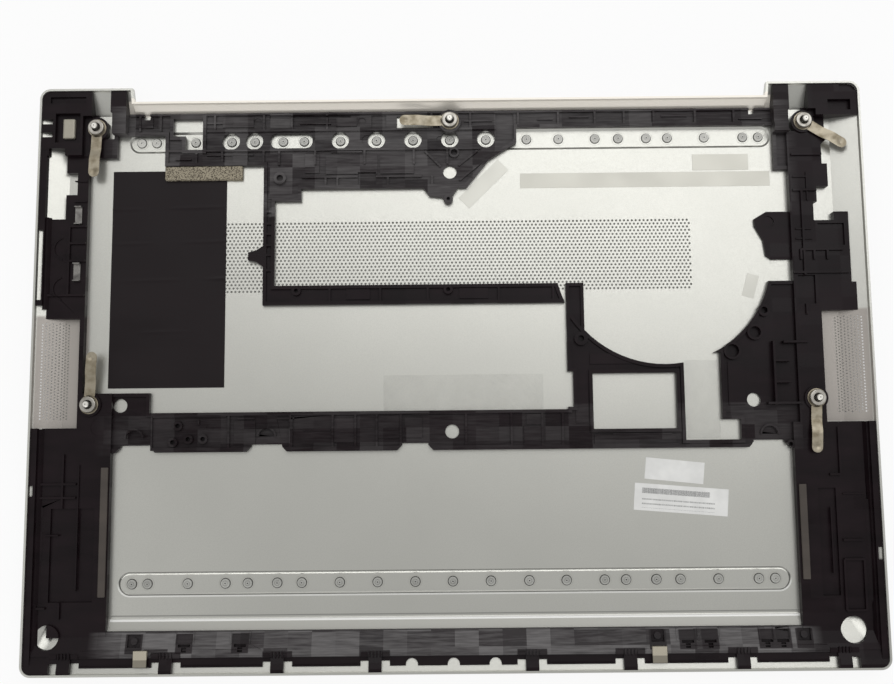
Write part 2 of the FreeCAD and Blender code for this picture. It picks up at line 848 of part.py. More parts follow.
def front_cuts():
    """Arches, square pockets and latch pockets in the front band."""
    cuts = []
    for x in FRONT_ARCHES:
        cuts.append(post("arch", across(x), front(3.2), 2.2, through))
        cuts.append(block("arch_mouth", (across(x) - 2.2, across(x) + 2.2), (from_front(-4), front(3.2)), through))
    for x, y in SQUARE_POCKETS:
        cuts.append(
            block(
                "square_pocket",
                (across(x) - 2.5, across(x) + 2.5),
                (along(y) - 2.2, along(y) + 2.2),
                (column_level - 1.0, s.rim_level),
            )
        )
        cuts.append(facet_post("pocket_hole", across(x), along(y), 1.3, through, 12))
    for x in LATCH_POCKETS:
        cuts.append(
            block(
                "latch_pocket",
                (across(x) - 2.6, across(x) + 2.6),
                (front(11.0), front(14.2)),
                (lip_level - 0.5, s.rim_level),
            )
        )
        cuts.append(
            block(
                "latch_slot",
                (across(x) - 1.6, across(x) + 1.6),
                (front(7.6), front(11.0)),
                (lip_level, s.rim_level),
            )
        )
    return cuts


def frame_windows():
    """Everything that is open through the moulding."""
    windows = [
        raised(name, corners, through)
        for name, corners in (
            ("film_bay", film_bay),
            ("fan_bay", fan_bay),
            ("drive_bay", drive_bay),
            ("side_bay", side_bay),
            ("battery_bay", battery_bay),
            ("tee_window", tee_window),
            ("right_outer_window", right_outer_window),
            ("rear_slot_window", rear_slot_window),
            ("left_grille_window", left_grille_window),
            ("right_grille_window", right_grille_window),
        )
    ]
    windows.append(post("fan_opening", across(s.fan_x), along(s.fan_y), s.fan_radius, through))
    windows.append(
        raised(
            "oblong_window",
            rectangle((stake_x(-64.8) - 4.7, stake_x(-56.6) + 3.4), (rear_foot_y - 3.0, rear_foot_y + 2.9), 2.6),
            through,
        )
    )
    for x_range, y_range in (
        ((-136.5, -130.5), (91.2, 111.0)),
        ((130.5, 136.5), (91.4, 111.0)),
        ((-124.5, -113.3), (-31.0, -27.0)),
        ((-75.5, -64.0), (-31.0, -27.0)),
        ((-19.0, -9.2), (-31.0, -27.0)),
        ((112.5, 124.0), (-31.0, -27.0)),
        ((-118.5, -116.2), (98.8, 104.0)),
        ((116.0, 118.0), (98.8, 104.0)),
        ((-161.5, -152.5), (96.3, 98.3)),
        ((-161.5, -152.5), (91.2, 93.2)),
        ((-161.5, -155.2), (-45.3, -41.5)),
        ((155.0, 161.5), (-71.0, -66.5)),
    ):
        windows.append(plan_block("window", x_range, y_range, through))
    for x, y, radius in ROUND_WINDOWS:
        windows.append(post("round_window", across(x), along(y), radius, through))
    for place in ROUND_STAKES:
        windows.append(post("stake_window", stake_x(place), rear_foot_y, 3.4, through))
    return windows


gasket_pocket = (from_front(6.4), from_front(9.2))
gasket_seat_level = lip_level + s.front_band_rise * 0.62


def frame_recesses():
    """Shallow sinks in the two ear blocks and the columns."""
    sink = (wall_level - s.lip_height, s.rim_level)
    low_sink = (column_level - s.lip_height, s.rim_level)
    return [
        block("gasket_pocket", (across(-116.9), across(-111.3)), gasket_pocket, (gasket_seat_level, s.rim_level)),
        block("gasket_pocket", (across(71.0), across(77.0)), gasket_pocket, (gasket_seat_level, s.rim_level)),
        plan_block("spring_relief", (-141.0, -130.0), (73.0, 99.5), (lip_level + 1.2, s.rim_level)),
        plan_block("spring_relief", (130.0, 140.6), (91.4, 99.5), (lip_level + 1.2, s.rim_level)),
        plan_block("ear_step", (-153.6, -140.0), (104.5, 107.0), sink),
        plan_block("ear_sink", (-151.5, -142.0), (89.0, 100.5), (wall_level - 2 * s.lip_height, s.rim_level)),
        plan_block("ear_pocket", (145.3, 154.0), (98.8, 103.0), (wall_level - 2 * s.lip_height, s.rim_level)),
        plan_block("ear_corner", (150.0, 161.5), (106.5, 114.0), sink),
        plan_block("column_sink", (131.5, 138.0), (24.0, 35.0), low_sink),
        plan_block("column_sink", (140.0, 150.0), (46.5, 55.0), low_sink),
        plan_block("side_sink", (-153.0, -133.0), (-84.0, -50.0), low_sink),
        plan_block("side_sink", (135.0, 141.5), (-84.0, -45.0), low_sink),
        post("ejector_mark", left(7.5), along(47.0), 3.4, low_sink),
        post("ejector_mark", left(7.5), along(33.0), 3.4, low_sink),
    ]


def added_tabs():
    """Tabs that reach into the bays, and the bar between the board and the fan."""
    fan_ear = raised(
        "fan_ear",
        plan([
            (129.8, 41.5), (129.8, 60.0), (121.0, 60.0), (116.3, 57.2),
            (116.5, 54.5), (119.5, 49.0), (120.3, 43.0), (122.5, 41.5),
        ]),
        (floor_level, plate_level),
    )
    rib_ear = raised(
        "rib_ear",
        plan([(-71.8, 40.5), (-71.8, 48.5), (-74.5, 46.8), (-77.5, 46.0), (-77.5, 43.0), (-74.5, 42.4)]),
        (floor_level, lip_level),
    )
    boss_tab = raised(
        "boss_tab",
        plan([(-11.0, 71.5), (-8.0, 67.5), (-3.2, 67.0), (-1.2, 64.4), (0.6, 67.0), (3.5, 71.5)]),
        (floor_level, lip_level),
    )
    board_bar = plan_block("board_bar", (43.5, 50.2), (8.0, 33.0), (floor_level, plate_level))
    bar_lips = [
        plan_block("board_bar_lip", (43.5, 44.7), (8.0, 33.0), (floor_level, lip_level)),
        plan_block("board_bar_lip", (49.0, 50.2), (14.8, 33.0), (floor_level, lip_level)),
        plan_block("board_bar_lip", (43.5, 50.2), (31.8, 33.0), (floor_level, lip_level)),
    ]
    square_boss = plan_block("square_boss", (-139.5, -128.5), (83.7, 91.2), (floor_level, lip_level))
    return [fan_ear, rib_ear, boss_tab, board_bar, square_boss] + bar_lips


def build_inner_frame(cavity):
    """The black moulding that is bonded into the shell."""
    posts = []
    bores = []
    for x, y, outer, hole in SMALL_BOSSES:
        posts.append(facet_post("boss", across(x), along(y), outer, (floor_level, lip_level + 0.4), 16))
        bores.append(facet_post("boss_hole", across(x), along(y), hole, (plate_level - 0.6, s.rim_level), 12))
    for x, y in screw_places().values():
        flange_top = floor_level + s.sleeve_flange_thickness + s.sleeve_clearance
        bore = s.sleeve_radius + s.sleeve_clearance
        wide = s.sleeve_flange_radius + s.sleeve_clearance
        posts.append(post("screw_boss", x, y, s.boss_radius, (floor_level, s.boss_top_level)))
        bores.append(post("screw_boss_bore", x, y, bore, (floor_level, s.rim_level)))
        bores.append(post("screw_boss_counterbore", x, y, wide, (floor_level, flange_top)))
    plates = fused("frame_plates", frame_plates() + frame_lips() + frame_ribs() + frame_pads() + column_ribs())
    opened = cut("frame_opened", plates, frame_windows() + frame_recesses())
    added = fused("frame_with_posts", [opened] + added_tabs() + posts + front_hooks())
    ear_hole = post("fan_ear_hole", across(121.6), along(56.0), 2.3, through)
    bored = cut("frame_bored", added, bores + hook_gaps() + front_cuts() + [ear_hole])
    return common("inner_frame", bored, cavity)


# Screws, sleeves and springs

def revolved(name, profile):
    """A turned piece from half its section, as (radius, height) corners."""
    sketch = outline(name + "_section", profile, 0.0)
    sketch.setExpression("Placement.Base.z", None)
    sketch.Placement = FreeCAD.Placement(
        FreeCAD.Vector(), FreeCAD.Rotation(FreeCAD.Vector(1, 0, 0), 90)
    )
    item = doc.addObject("Part::Revolution", own_name(name))
    item.Source = sketch
    item.Axis = FreeCAD.Vector(0, 0, 1)
    item.Base = FreeCAD.Vector(0, 0, 0)
    item.Angle = 360
    item.Solid = True
    return item


def build_screw_set(place_name, x, y):
    """One captive screw and the turned sleeve that holds it."""
    seat_low = s.underside_level + s.screw_head_height + s.screw_clearance
    seat_high = seat_low + s.sleeve_seat_thickness
    sleeve = revolved(
        "screw_sleeve_" + place_name,
        [
            (s.screw_head_radius + s.screw_clearance, s.underside_level),
            (s.sleeve_radius, s.underside_level),
            (s.sleeve_radius, floor_level),
            (s.sleeve_flange_radius, floor_level),
            (s.sleeve_flange_radius, floor_level + s.sleeve_flange_thickness),
            (s.sleeve_radius, floor_level + s.sleeve_flange_thickness),
            (s.sleeve_radius, s.sleeve_top_level),
            (s.sleeve_bore_radius, s.sleeve_top_level),
            (s.sleeve_bore_radius, seat_high),
            (s.screw_shank_radius + s.screw_clearance, seat_high),
            (s.screw_shank_radius + s.screw_clearance, seat_low),
            (s.screw_head_radius + s.screw_clearance, seat_low),
        ],
    )
    thread_low = s.sleeve_top_level + s.screw_clearance
    tip = s.sleeve_top_level + s.screw_reach
    chamfer = s.screw_thread_radius / 3
    socket = s.screw_head_radius / 2
    screw = revolved(
        "captive_screw_" + place_name,
        [
            (0.0, seat_low - s.screw_head_height / 2),
            (socket, seat_low - s.screw_head_height / 2),
            (socket, seat_low - s.screw_head_height),
            (s.screw_head_radius, seat_low - s.screw_head_height),
            (s.screw_head_radius, seat_low),
            (s.screw_shank_radius, seat_low),
            (s.screw_shank_radius, thread_low),
            (s.screw_thread_radius, thread_low),
            (s.screw_thread_radius, tip - chamfer),
            (s.screw_thread_radius - chamfer, tip),
            (0.0, tip),
        ],
    )
    return [put_at(sleeve, x, y, 0.0), put_at(screw, x, y, 0.0)]


SPRING_TAILS = {
    # place: (tail direction, tail length from the screw)
    "rear_left": (-91.5, 19.5),
    "rear_middle": (180.0, 19.3),
    "rear_right": (-33.0, 18.5),
    "front_left": (87.0, 19.8),
    "front_right": (-93.5, 20.4),
}


def build_ground_spring(place_name, x, y):
    """A pressed spring: a ring round the sleeve and a tail that rises to its rounded tip."""
    angle, reach = SPRING_TAILS[place_name]
    low = s.boss_top_level
    high = low + s.spring_thickness
    half = s.spring_width / 2
    ring = post("spring_ring", 0.0, 0.0, s.boss_radius - 0.2, (low, high))
    flat_length = s.boss_radius + 3.0
    flat = block("spring_flat", (0.0, flat_length), (-half, half), (low, high))
    ramp_length = (as_size(reach) - flat_length) * 0.5
    ramp = sloped_strip("spring_ramp", flat_length, ramp_length, half, low, s.spring_rise)
    end_low = low + s.spring_rise
    end_high = end_low + s.spring_thickness
    end = block("spring_end", (flat_length + ramp_length, as_size(reach) - half), (-half, half), (end_low, end_high))
    tip = post("spring_tip", as_size(reach) - half, 0.0, half, (end_low, end_high))
    hole = post("spring_hole", 0.0, 0.0, s.sleeve_radius + s.sleeve_clearance, (low - 1, high + 1))
    spring = cut("ground_spring_" + place_name, fused("spring_sheet", [ring, flat, ramp, end, tip]), [hole])
    spring.Placement = FreeCAD.Placement(
        FreeCAD.Vector(), FreeCAD.Rotation(FreeCAD.Vector(0, 0, 1), angle)
    )
    return put_at(spring, x, y, 0.0)


def sloped_strip(name, start, length, half_width, low, rise):
    """A strip that rises along +X, made from its side profile."""
    profile = [
        (start, low),
        (start + length, low + rise),
        (start + length, low + rise + s.spring_thickness),
        (start, low + s.spring_thickness),
    ]
    sketch = outline(name + "_profile", profile, 0.0)
    sketch.setExpression("Placement.Base.z", None)
    sketch.Placement = FreeCAD.Placement(
        FreeCAD.Vector(), FreeCAD.Rotation(FreeCAD.Vector(1, 0, 0), 90)
    )
    item = doc.addObject("Part::Extrusion", own_name(name))
    item.Base = sketch
    item.DirMode = "Custom"
    item.Dir = FreeCAD.Vector(0, 1, 0)
    item.Solid = True
    bind(item, "LengthFwd", half_width)
    bind(item, "LengthRev", half_width)
    return item


# Feet

def build_foot(name, y, stakes):
    """A rubber foot and the hard strip inside it, whose pins pass through the shell and are staked over."""
    strip_low = ridge_level - s.strip_thickness
    outer_width = s.foot_channel_width + s.shell_thickness * 2
    rubber_body = lofted(
        name + "_body",
        foot_plan(y, s.foot_width - 1.2, 0.4),
        0.0,
        foot_plan(y, s.foot_width, 1.0),
        s.underside_level,
    )
    ridge_room = lofted(
        name + "_ridge_room",
        foot_plan(y, outer_width - s.foot_channel_depth * 2, -s.foot_channel_depth),
        ridge_level,
        foot_plan(y, outer_width),
        s.underside_level,
    )
    strip_plan = foot_plan(y, s.strip_width, -2.0)
    strip_room = raised(name + "_strip_room", strip_plan, (strip_low, ridge_level))
    rubber = cut(name, rubber_body, [ridge_room, strip_room])
    strip = raised(name + "_strip", strip_plan, (strip_low, ridge_level))
    pieces = [strip]
    head_top = channel_floor_level + s.stake_head_height
    for place in stakes:
        x = stake_x(place)
        pieces.append(facet_post("stake", x, y, s.stake_radius, (strip_low, channel_floor_level)))
        pieces.append(facet_post("stake_head", x, y, s.stake_head_radius, (channel_floor_level, head_top), 16))
    return [rubber, fused(name + "_stakes", pieces)]


# Thin pieces that are stuck on

def clip(name, x, y):
    """A small bright clip: a thin channel with two upturned ends."""
    low = column_level
    half = as_size(3.5)
    base = block(name + "_base", (x - 1.3, x + 1.3), (y - half, y + half), (low, low + s.clip_thickness))
    ends = [
        block(name + "_end", (x - 1.3, x + 1.3), (y + place, y + place + s.clip_thickness), (low, low + 1.8))
        for place in (-half, half - s.clip_thickness)
    ]
    return fused(name, [base] + ends)


def front_gasket(name, x, length):
    """A cloth-covered foam contact that sits in its pocket and laps over the sloping front band."""
    low = gasket_seat_level
    top = low + s.gasket_thickness
    profile = [
        (from_front(8.9), low),
        (from_front(6.7), low),
        (from_front(6.7), low + 0.4),
        (from_front(3.2), low + 1.25),
        (from_front(3.2), top + 0.1),
        (from_front(8.9), top),
    ]
    return profile_along_x(name, profile, (x - length / 2, x + length / 2))


def build_thin_pieces():
    """Films, tapes, labels, pads and clips."""
    film_top = floor_level + s.film_thickness
    tape = (floor_level, floor_level + s.tape_thickness)
    rail = (column_level, column_level + s.rail_thickness)
    foam = (film_top, film_top + s.foam_thickness)
    ear_floor = wall_level - 2 * s.lip_height
    x, y = left(11.0), rear(15.4)
    gasket_outline = rectangle((x - 2.3, x + 2.3), (y - 3.9, y + 3.9), 0.8)
    pieces = {
        "black_film": plan_block("black_film", (-130.3, -86.3), (-5.4, 78.7), (floor_level, film_top)),
        "foam_strip": plan_block("foam_strip", (-110.0, -80.0), (74.7, 80.1), foam),
        "tape_long": plan_block("tape_long", (27.0, 123.4), (70.6, 76.4), tape),
        "tape_short": plan_block("tape_short", (93.8, 115.4), (77.0, 83.3), tape),
        "tape_diagonal": turned_block("tape_diagonal", (across(12.85), along(72.45)), 21.5, 5.9, tape, 44.5),
        "tape_small": turned_block("tape_small", (across(114.2), along(31.5)), 4.6, 9.0, tape, -16.0),
        "clear_film_memory": plan_block("clear_film_memory", (-26.0, 34.3), (-14.7, -1.4), tape),
        "clear_film_side": plan_block("clear_film_side", (87.8, 100.6), (-26.2, 3.2), tape),
        "label_large": turned_block("label_large", (across(84.9), along(-48.9)), 35.0, 10.0, tape, -4.7),
        "label_small": turned_block("label_small", (across(82.8), along(-38.2)), 22.0, 8.0, tape, -6.0),
        "battery_rail_left": plan_block("battery_rail_left", (-130.9, -128.2), (-82.2, -35.0), rail),
        "battery_rail_right": plan_block("battery_rail_right", (127.9, 130.6), (-78.0, -43.5), rail),
        "side_gasket": raised("side_gasket", gasket_outline, (ear_floor, ear_floor + s.gasket_thickness)),
        "front_gasket_left": front_gasket("front_gasket_left", across(-114.1), 4.9),
        "front_gasket_right": front_gasket("front_gasket_right", across(74.0), 5.3),
        "side_clip_upper": clip("side_clip_upper", left(15.2), along(60.8)),
        "side_clip_lower": clip("side_clip_lower", left(15.2), along(38.8)),
    }
    return pieces


def check_and_write(pieces):
    """Checks every object of the document, then writes each piece."""
    doc.recompute()
    for item in doc.Objects:
        if "Invalid" in item.State or "Error" in item.State:
            raise RuntimeError(f"{item.Name} failed: {item.State}")
    os.makedirs("parts", exist_ok=True)
    for label, item in pieces.items():
        item.Label = label
        shape = item.Shape
        if shape.isNull() or not shape.isValid():
            raise RuntimeError(f"{label} has no valid shape")
        solids = shape.Solids
        print(label, len(solids), "solids", len(shape.Faces), "faces", round(shape.Volume, 2))
        shape.exportStep(os.path.join("parts", label + ".step"))


def main():
    cavity = build_cavity()
    pieces = {"bottom_shell": build_bottom_shell(cavity)}
    pieces["inner_frame"] = build_inner_frame(cavity)
    for place_name, (x, y) in screw_places().items():
        sleeve, screw = build_screw_set(place_name, x, y)
        pieces["screw_sleeve_" + place_name] = sleeve
        pieces["captive_screw_" + place_name] = screw
        pieces["ground_spring_" + place_name] = build_ground_spring(place_name, x, y)
    for name, y, stakes in (
        ("rear_foot", rear_foot_y, REAR_STAKES),
        ("front_foot", front_foot_y, FRONT_STAKES),
    ):
        rubber, stakes_piece = build_foot(name, y, stakes)
        pieces[name] = rubber
        pieces[name + "_stakes"] = stakes_piece
    pieces.update(build_thin_pieces())
    check_and_write(pieces)


main()
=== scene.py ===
"""Looks of a slim laptop's bottom case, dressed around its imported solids.

Metres, with +X along the long side, +Y to the hinge side and +Z up out of the open inner side.
"""

import logging
import math
import random
from dataclasses import dataclass, field
from enum import Enum
from typing import Callable, Iterable, Optional, Sequence, Union

import bmesh
import bpy
from mathutils import Matrix, Vector


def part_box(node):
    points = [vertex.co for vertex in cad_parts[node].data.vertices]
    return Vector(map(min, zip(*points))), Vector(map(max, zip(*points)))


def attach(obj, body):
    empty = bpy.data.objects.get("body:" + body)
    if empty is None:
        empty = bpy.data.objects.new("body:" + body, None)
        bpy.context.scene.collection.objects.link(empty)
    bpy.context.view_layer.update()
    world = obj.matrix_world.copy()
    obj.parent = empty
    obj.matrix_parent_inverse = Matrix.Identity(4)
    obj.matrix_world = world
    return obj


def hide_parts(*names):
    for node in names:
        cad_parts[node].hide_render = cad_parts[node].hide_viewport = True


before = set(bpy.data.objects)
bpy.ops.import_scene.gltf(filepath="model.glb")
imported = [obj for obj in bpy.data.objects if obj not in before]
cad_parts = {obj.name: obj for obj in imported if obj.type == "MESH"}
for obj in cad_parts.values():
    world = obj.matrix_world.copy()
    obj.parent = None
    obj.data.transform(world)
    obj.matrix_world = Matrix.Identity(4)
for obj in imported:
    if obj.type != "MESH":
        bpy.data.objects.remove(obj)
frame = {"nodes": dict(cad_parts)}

log = logging.getLogger("bottom_case")

MM = 0.001
IMAGE_WIDTH = 894
BODY = "root"

REAR_FOOT_Y = 90.1
FRONT_FOOT_Y = -78.0
REAR_STAKES = (
    -119.8, -114.0, -98.8, -84.8, -75.8, -64.8, -56.6, -42.5, -28.5, -14.3, 0.0,
    14.0, 29.8, 42.2, 56.4, 65.4, 76.3, 84.5, 98.8, 113.8, 119.8,
)
FRONT_STAKES = (
    -119.5, -113.7, -98.8, -84.8, -76.5, -65.6, -56.5, -42.4, -28.4, -14.4, -0.5,
    13.6, 27.8, 41.6, 55.7, 63.6, 74.8, 83.7, 97.8, 112.7, 118.8,
)

HOOKS = (-142.0, -105.0, -64.5, -29.0, 28.0, 63.5, 104.3, 141.0)
LATCHES = ((-102.0, -95.3), (-81.8, -74.7), (80.8, 88.6), (89.1, 96.7), (110.9, 116.2), (116.6, 122.0))
SQUARE_POCKETS = ((-117.0, -98.0), (73.8, -97.6), (127.2, -97.6))

Color = tuple[float, float, float]
Point = tuple[float, float, float]


class Slot(Enum):
    """Material slots of the part's record."""

    SHELL = "shell_metal"
    MOULDING = "black_moulding"
    SLEEVE = "sleeve_steel"
    SCREW = "screw_steel"
    SPRING = "spring_nickel"
    STAKE = "stake_plastic"
    FILM = "black_film"
    FOAM = "foam"
    RUBBER = "foot_rubber"
    TAPE = "grey_tape"
    CLEAR = "clear_film"
    LABEL = "label_paper"
    RAIL = "rail_plastic"
    GASKET = "gasket_fabric"


class Boolean(Enum):
    """How one mesh changes another."""

    JOIN = "UNION"
    PIERCE = "DIFFERENCE"


class Signal:
    """One output socket of a shader node, with arithmetic on its value."""

    def __init__(self, graph: "ShaderGraph", socket: bpy.types.NodeSocket) -> None:
        """Keep the socket and the graph it belongs to.

        Args:
            graph: The graph that holds the node.
            socket: The output socket.
        """
        self.graph = graph
        self.socket = socket

    def _math(self, operation: str, first: "Operand", second: "Operand") -> "Signal":
        """Add one Math node.

        Args:
            operation: The node's operation.
            first: Its first value.
            second: Its second value.

        Returns:
            The node's result.
        """
        return self.graph.add("ShaderNodeMath", {"operation": operation}, {0: first, 1: second})

    def __add__(self, other: "Operand") -> "Signal":
        """Sum."""
        return self._math("ADD", self, other)

    def __radd__(self, other: "Operand") -> "Signal":
        """Sum with a number on the left."""
        return self._math("ADD", other, self)

    def __sub__(self, other: "Operand") -> "Signal":
        """Difference."""
        return self._math("SUBTRACT", self, other)

    def __rsub__(self, other: "Operand") -> "Signal":
        """Difference from a number on the left."""
        return self._math("SUBTRACT", other, self)

    def __mul__(self, other: "Operand") -> "Signal":
        """Product."""
        return self._math("MULTIPLY", self, other)

    def __rmul__(self, other: "Operand") -> "Signal":
        """Product with a number on the left."""
        return self._math("MULTIPLY", other, self)

    def __truediv__(self, other: "Operand") -> "Signal":
        """Quotient."""
        return self._math("DIVIDE", self, other)

    def __abs__(self) -> "Signal":
        """Size without its sign."""
        return self._math("ABSOLUTE", self, 0.0)

    def __gt__(self, other: "Operand") -> "Signal":
        """One where the value is above the other, and nought elsewhere."""
        return self._math("GREATER_THAN", self, other)

    def __lt__(self, other: "Operand") -> "Signal":
        """One where the value is below the other, and nought elsewhere."""
        return self._math("LESS_THAN", self, other)


Operand = Union[Signal, float]
Input = Union[Signal, float, Sequence[float]]


class ShaderGraph:
    """The nodes of one material."""

    def __init__(self, name: str) -> None:
        """Start an empty material.

        Args:
            name: The material's name.
        """
        self.material = bpy.data.materials.new(name)
        self.material.use_nodes = True
        self.tree = self.material.node_tree
        self.tree.nodes.clear()
        self._millimetres: Optional[Signal] = None

    def add(
        self,
        kind: str,
        settings: Optional[dict[str, object]] = None,
        inputs: Optional[dict[Union[int, str], Input]] = None,
        output: Union[int, str] = 0,
    ) -> Signal:
        """Add a node, set it up and feed it.

        Args:
            kind: The node's type.
            settings: Properties that are set first. "stops" holds a ramp's (place, colour) pairs.
            inputs: Values or signals for its sockets.
            output: The socket that is returned.

        Returns:
            The chosen output.
        """
        node = self.tree.nodes.new(kind)
        for key, value in (settings or {}).items():
            if key == "stops":
                self._set_stops(node.color_ramp, value)
            else:
                setattr(node, key, value)
        for key, value in (inputs or {}).items():
            if isinstance(value, Signal):
                self.tree.links.new(value.socket, node.inputs[key])
            else:
                node.inputs[key].default_value = value
        return Signal(self, node.outputs[output])

    @staticmethod
    def _set_stops(ramp: bpy.types.ColorRamp, stops: Sequence[tuple[float, Color]]) -> None:
        """Set the stops of a colour ramp.

        Args:
            ramp: The ramp.
            stops: Its (place, colour) pairs.
        """
        while len(ramp.elements) < len(stops):
            ramp.elements.new(0.5)
        for element, (place, color) in zip(ramp.elements, stops):
            element.position = place
            element.color = (*color, 1.0)

    def millimetres(self) -> Signal:
        """The place on the object in millimetres, the same for every piece."""
        if self._millimetres is None:
            place = self.add("ShaderNodeTexCoord", output="Object")
            self._millimetres = self.scaled(place, (1 / MM, 1 / MM, 1 / MM))
        return self._millimetres

    def scaled(self, vector: Signal, factors: Point) -> Signal:
        """A vector with each of its parts multiplied."""
        return self.add("ShaderNodeVectorMath", {"operation": "MULTIPLY"}, {0: vector, 1: factors})

    def part(self, vector: Signal, axis: str) -> Signal:
        """One part of a vector, X, Y or Z."""
        return self.add("ShaderNodeSeparateXYZ", inputs={0: vector}, output=axis)

    def noise(self, grain: float, detail: float = 2.0, stretch: Point = (1.0, 1.0, 1.0)) -> Signal:
        """Soft random patches, from 0 to 1.

        Args:
            grain: The size of a patch in millimetres.
            detail: How many finer layers it has.
            stretch: How much longer the patches are along each axis.

        Returns:
            The pattern.
        """
        place = self.scaled(self.millimetres(), tuple(1 / (grain * s) for s in stretch))
        return self.add("ShaderNodeTexNoise", inputs={"Vector": place, "Scale": 1.0, "Detail": detail}, output=0)

    def cells(self, grain: float, feature: str = "F1") -> Signal:
        """Distance to scattered points, for pores and grain."""
        place = self.scaled(self.millimetres(), (1 / grain, 1 / grain, 1 / grain))
        return self.add("ShaderNodeTexVoronoi", {"feature": feature}, {"Vector": place, "Scale": 1.0})

    def blend(self, factor: Operand, first: Input, second: Input) -> Signal:
        """A colour between two others."""
        return self.add(
            "ShaderNodeMix",
            {"data_type": "RGBA"},
            {0: factor, 6: with_alpha(first), 7: with_alpha(second)},
            output=2,
        )

    def spread(self, value: Signal, low: float, high: float, to_low: float = 0.0, to_high: float = 1.0) -> Signal:
        """A value mapped from one range to another and held within it."""
        return self.add(
            "ShaderNodeMapRange",
            {"clamp": True},
            {"Value": value, "From Min": low, "From Max": high, "To Min": to_low, "To Max": to_high},
        )

    def bump(self, height: Signal, depth: float, strength: float = 1.0) -> Signal:
        """A relief for the Normal socket.

        Args:
            height: The relief, from 0 to 1.
            depth: Its depth in millimetres.
            strength: How much of it shows.

        Returns:
            The bent normal.
        """
        return self.add(
            "ShaderNodeBump", inputs={"Height": height, "Distance": depth * MM, "Strength": strength}
        )

    def surface(self, inputs: dict[Union[int, str], Input]) -> bpy.types.Material:
        """End the graph in one Principled surface."""
        return self.end(self.add("ShaderNodeBsdfPrincipled", inputs=inputs))

    def end(self, shader: Signal) -> bpy.types.Material:
        """Lead a shader to the material's output.

        Args:
            shader: The last shader.

        Returns:
            The finished material.
        """
        last = self.tree.nodes.new("ShaderNodeOutputMaterial")
        self.tree.links.new(shader.socket, last.inputs["Surface"])
        return self.material

    def within(self, axis: str, low: float, high: float, soft: float = 0.1) -> Signal:
        """One between two places along an axis in millimetres, with soft ends."""
        place = self.part(self.millimetres(), axis)
        return self.spread(place, low - soft, low + soft) * self.spread(place, high - soft, high + soft, 1.0, 0.0)


def with_alpha(color: Input) -> Input:
    """A colour with its fourth number, where it is plain numbers."""
    if isinstance(color, Signal) or len(color) == 4:
        return color
    return (*color, 1.0)


@dataclass(frozen=True)
class Finish:
    """A surface finish that turns into one material."""

    name: str
    color: Color
    roughness: float
    metallic: float = 0.0
    specular: float = 0.5
    tint_change: float = 0.06

    def material(self) -> bpy.types.Material:
        """The finish's material, made once."""
        made = bpy.data.materials.get(self.name)
        return made if made else self.build(ShaderGraph(self.name))

    def build(self, graph: ShaderGraph) -> bpy.types.Material:
        """Build the nodes.

        Args:
            graph: The empty material.

        Returns:
            The finished material.
        """
        patches = graph.noise(14.0, 3.0)
        grain = graph.noise(0.35, 2.0)
        return graph.surface(
            {
                "Base Color": self.tinted(graph, patches),
                "Roughness": graph.spread(patches, 0.3, 0.7, self.roughness - 0.05, self.roughness + 0.05),
                "Metallic": self.metallic,
                "Specular IOR Level": self.specular,
                "Normal": graph.bump(grain, 0.01, 0.5),
            }
        )

    def tinted(self, graph: ShaderGraph, pattern: Signal) -> Signal:
        """The finish's colour, a little darker and lighter by a pattern."""
        darker = tuple(c * (1 - self.tint_change) for c in self.color)
        lighter = tuple(c * (1 + self.tint_change) for c in self.color)
        return graph.blend(graph.spread(pattern, 0.3, 0.7), darker, lighter)


@dataclass(frozen=True)
class PaintedLightZone:
    """A part of the tray's inner face whose colour is painted lighter, darker or warmer, as painted light or painted
    shade.
    """

    x: tuple[float, float]
    y: tuple[float, float]
    color: Color
    share: float = 1.0
    soft: float = 0.15
    mirrored: bool = False


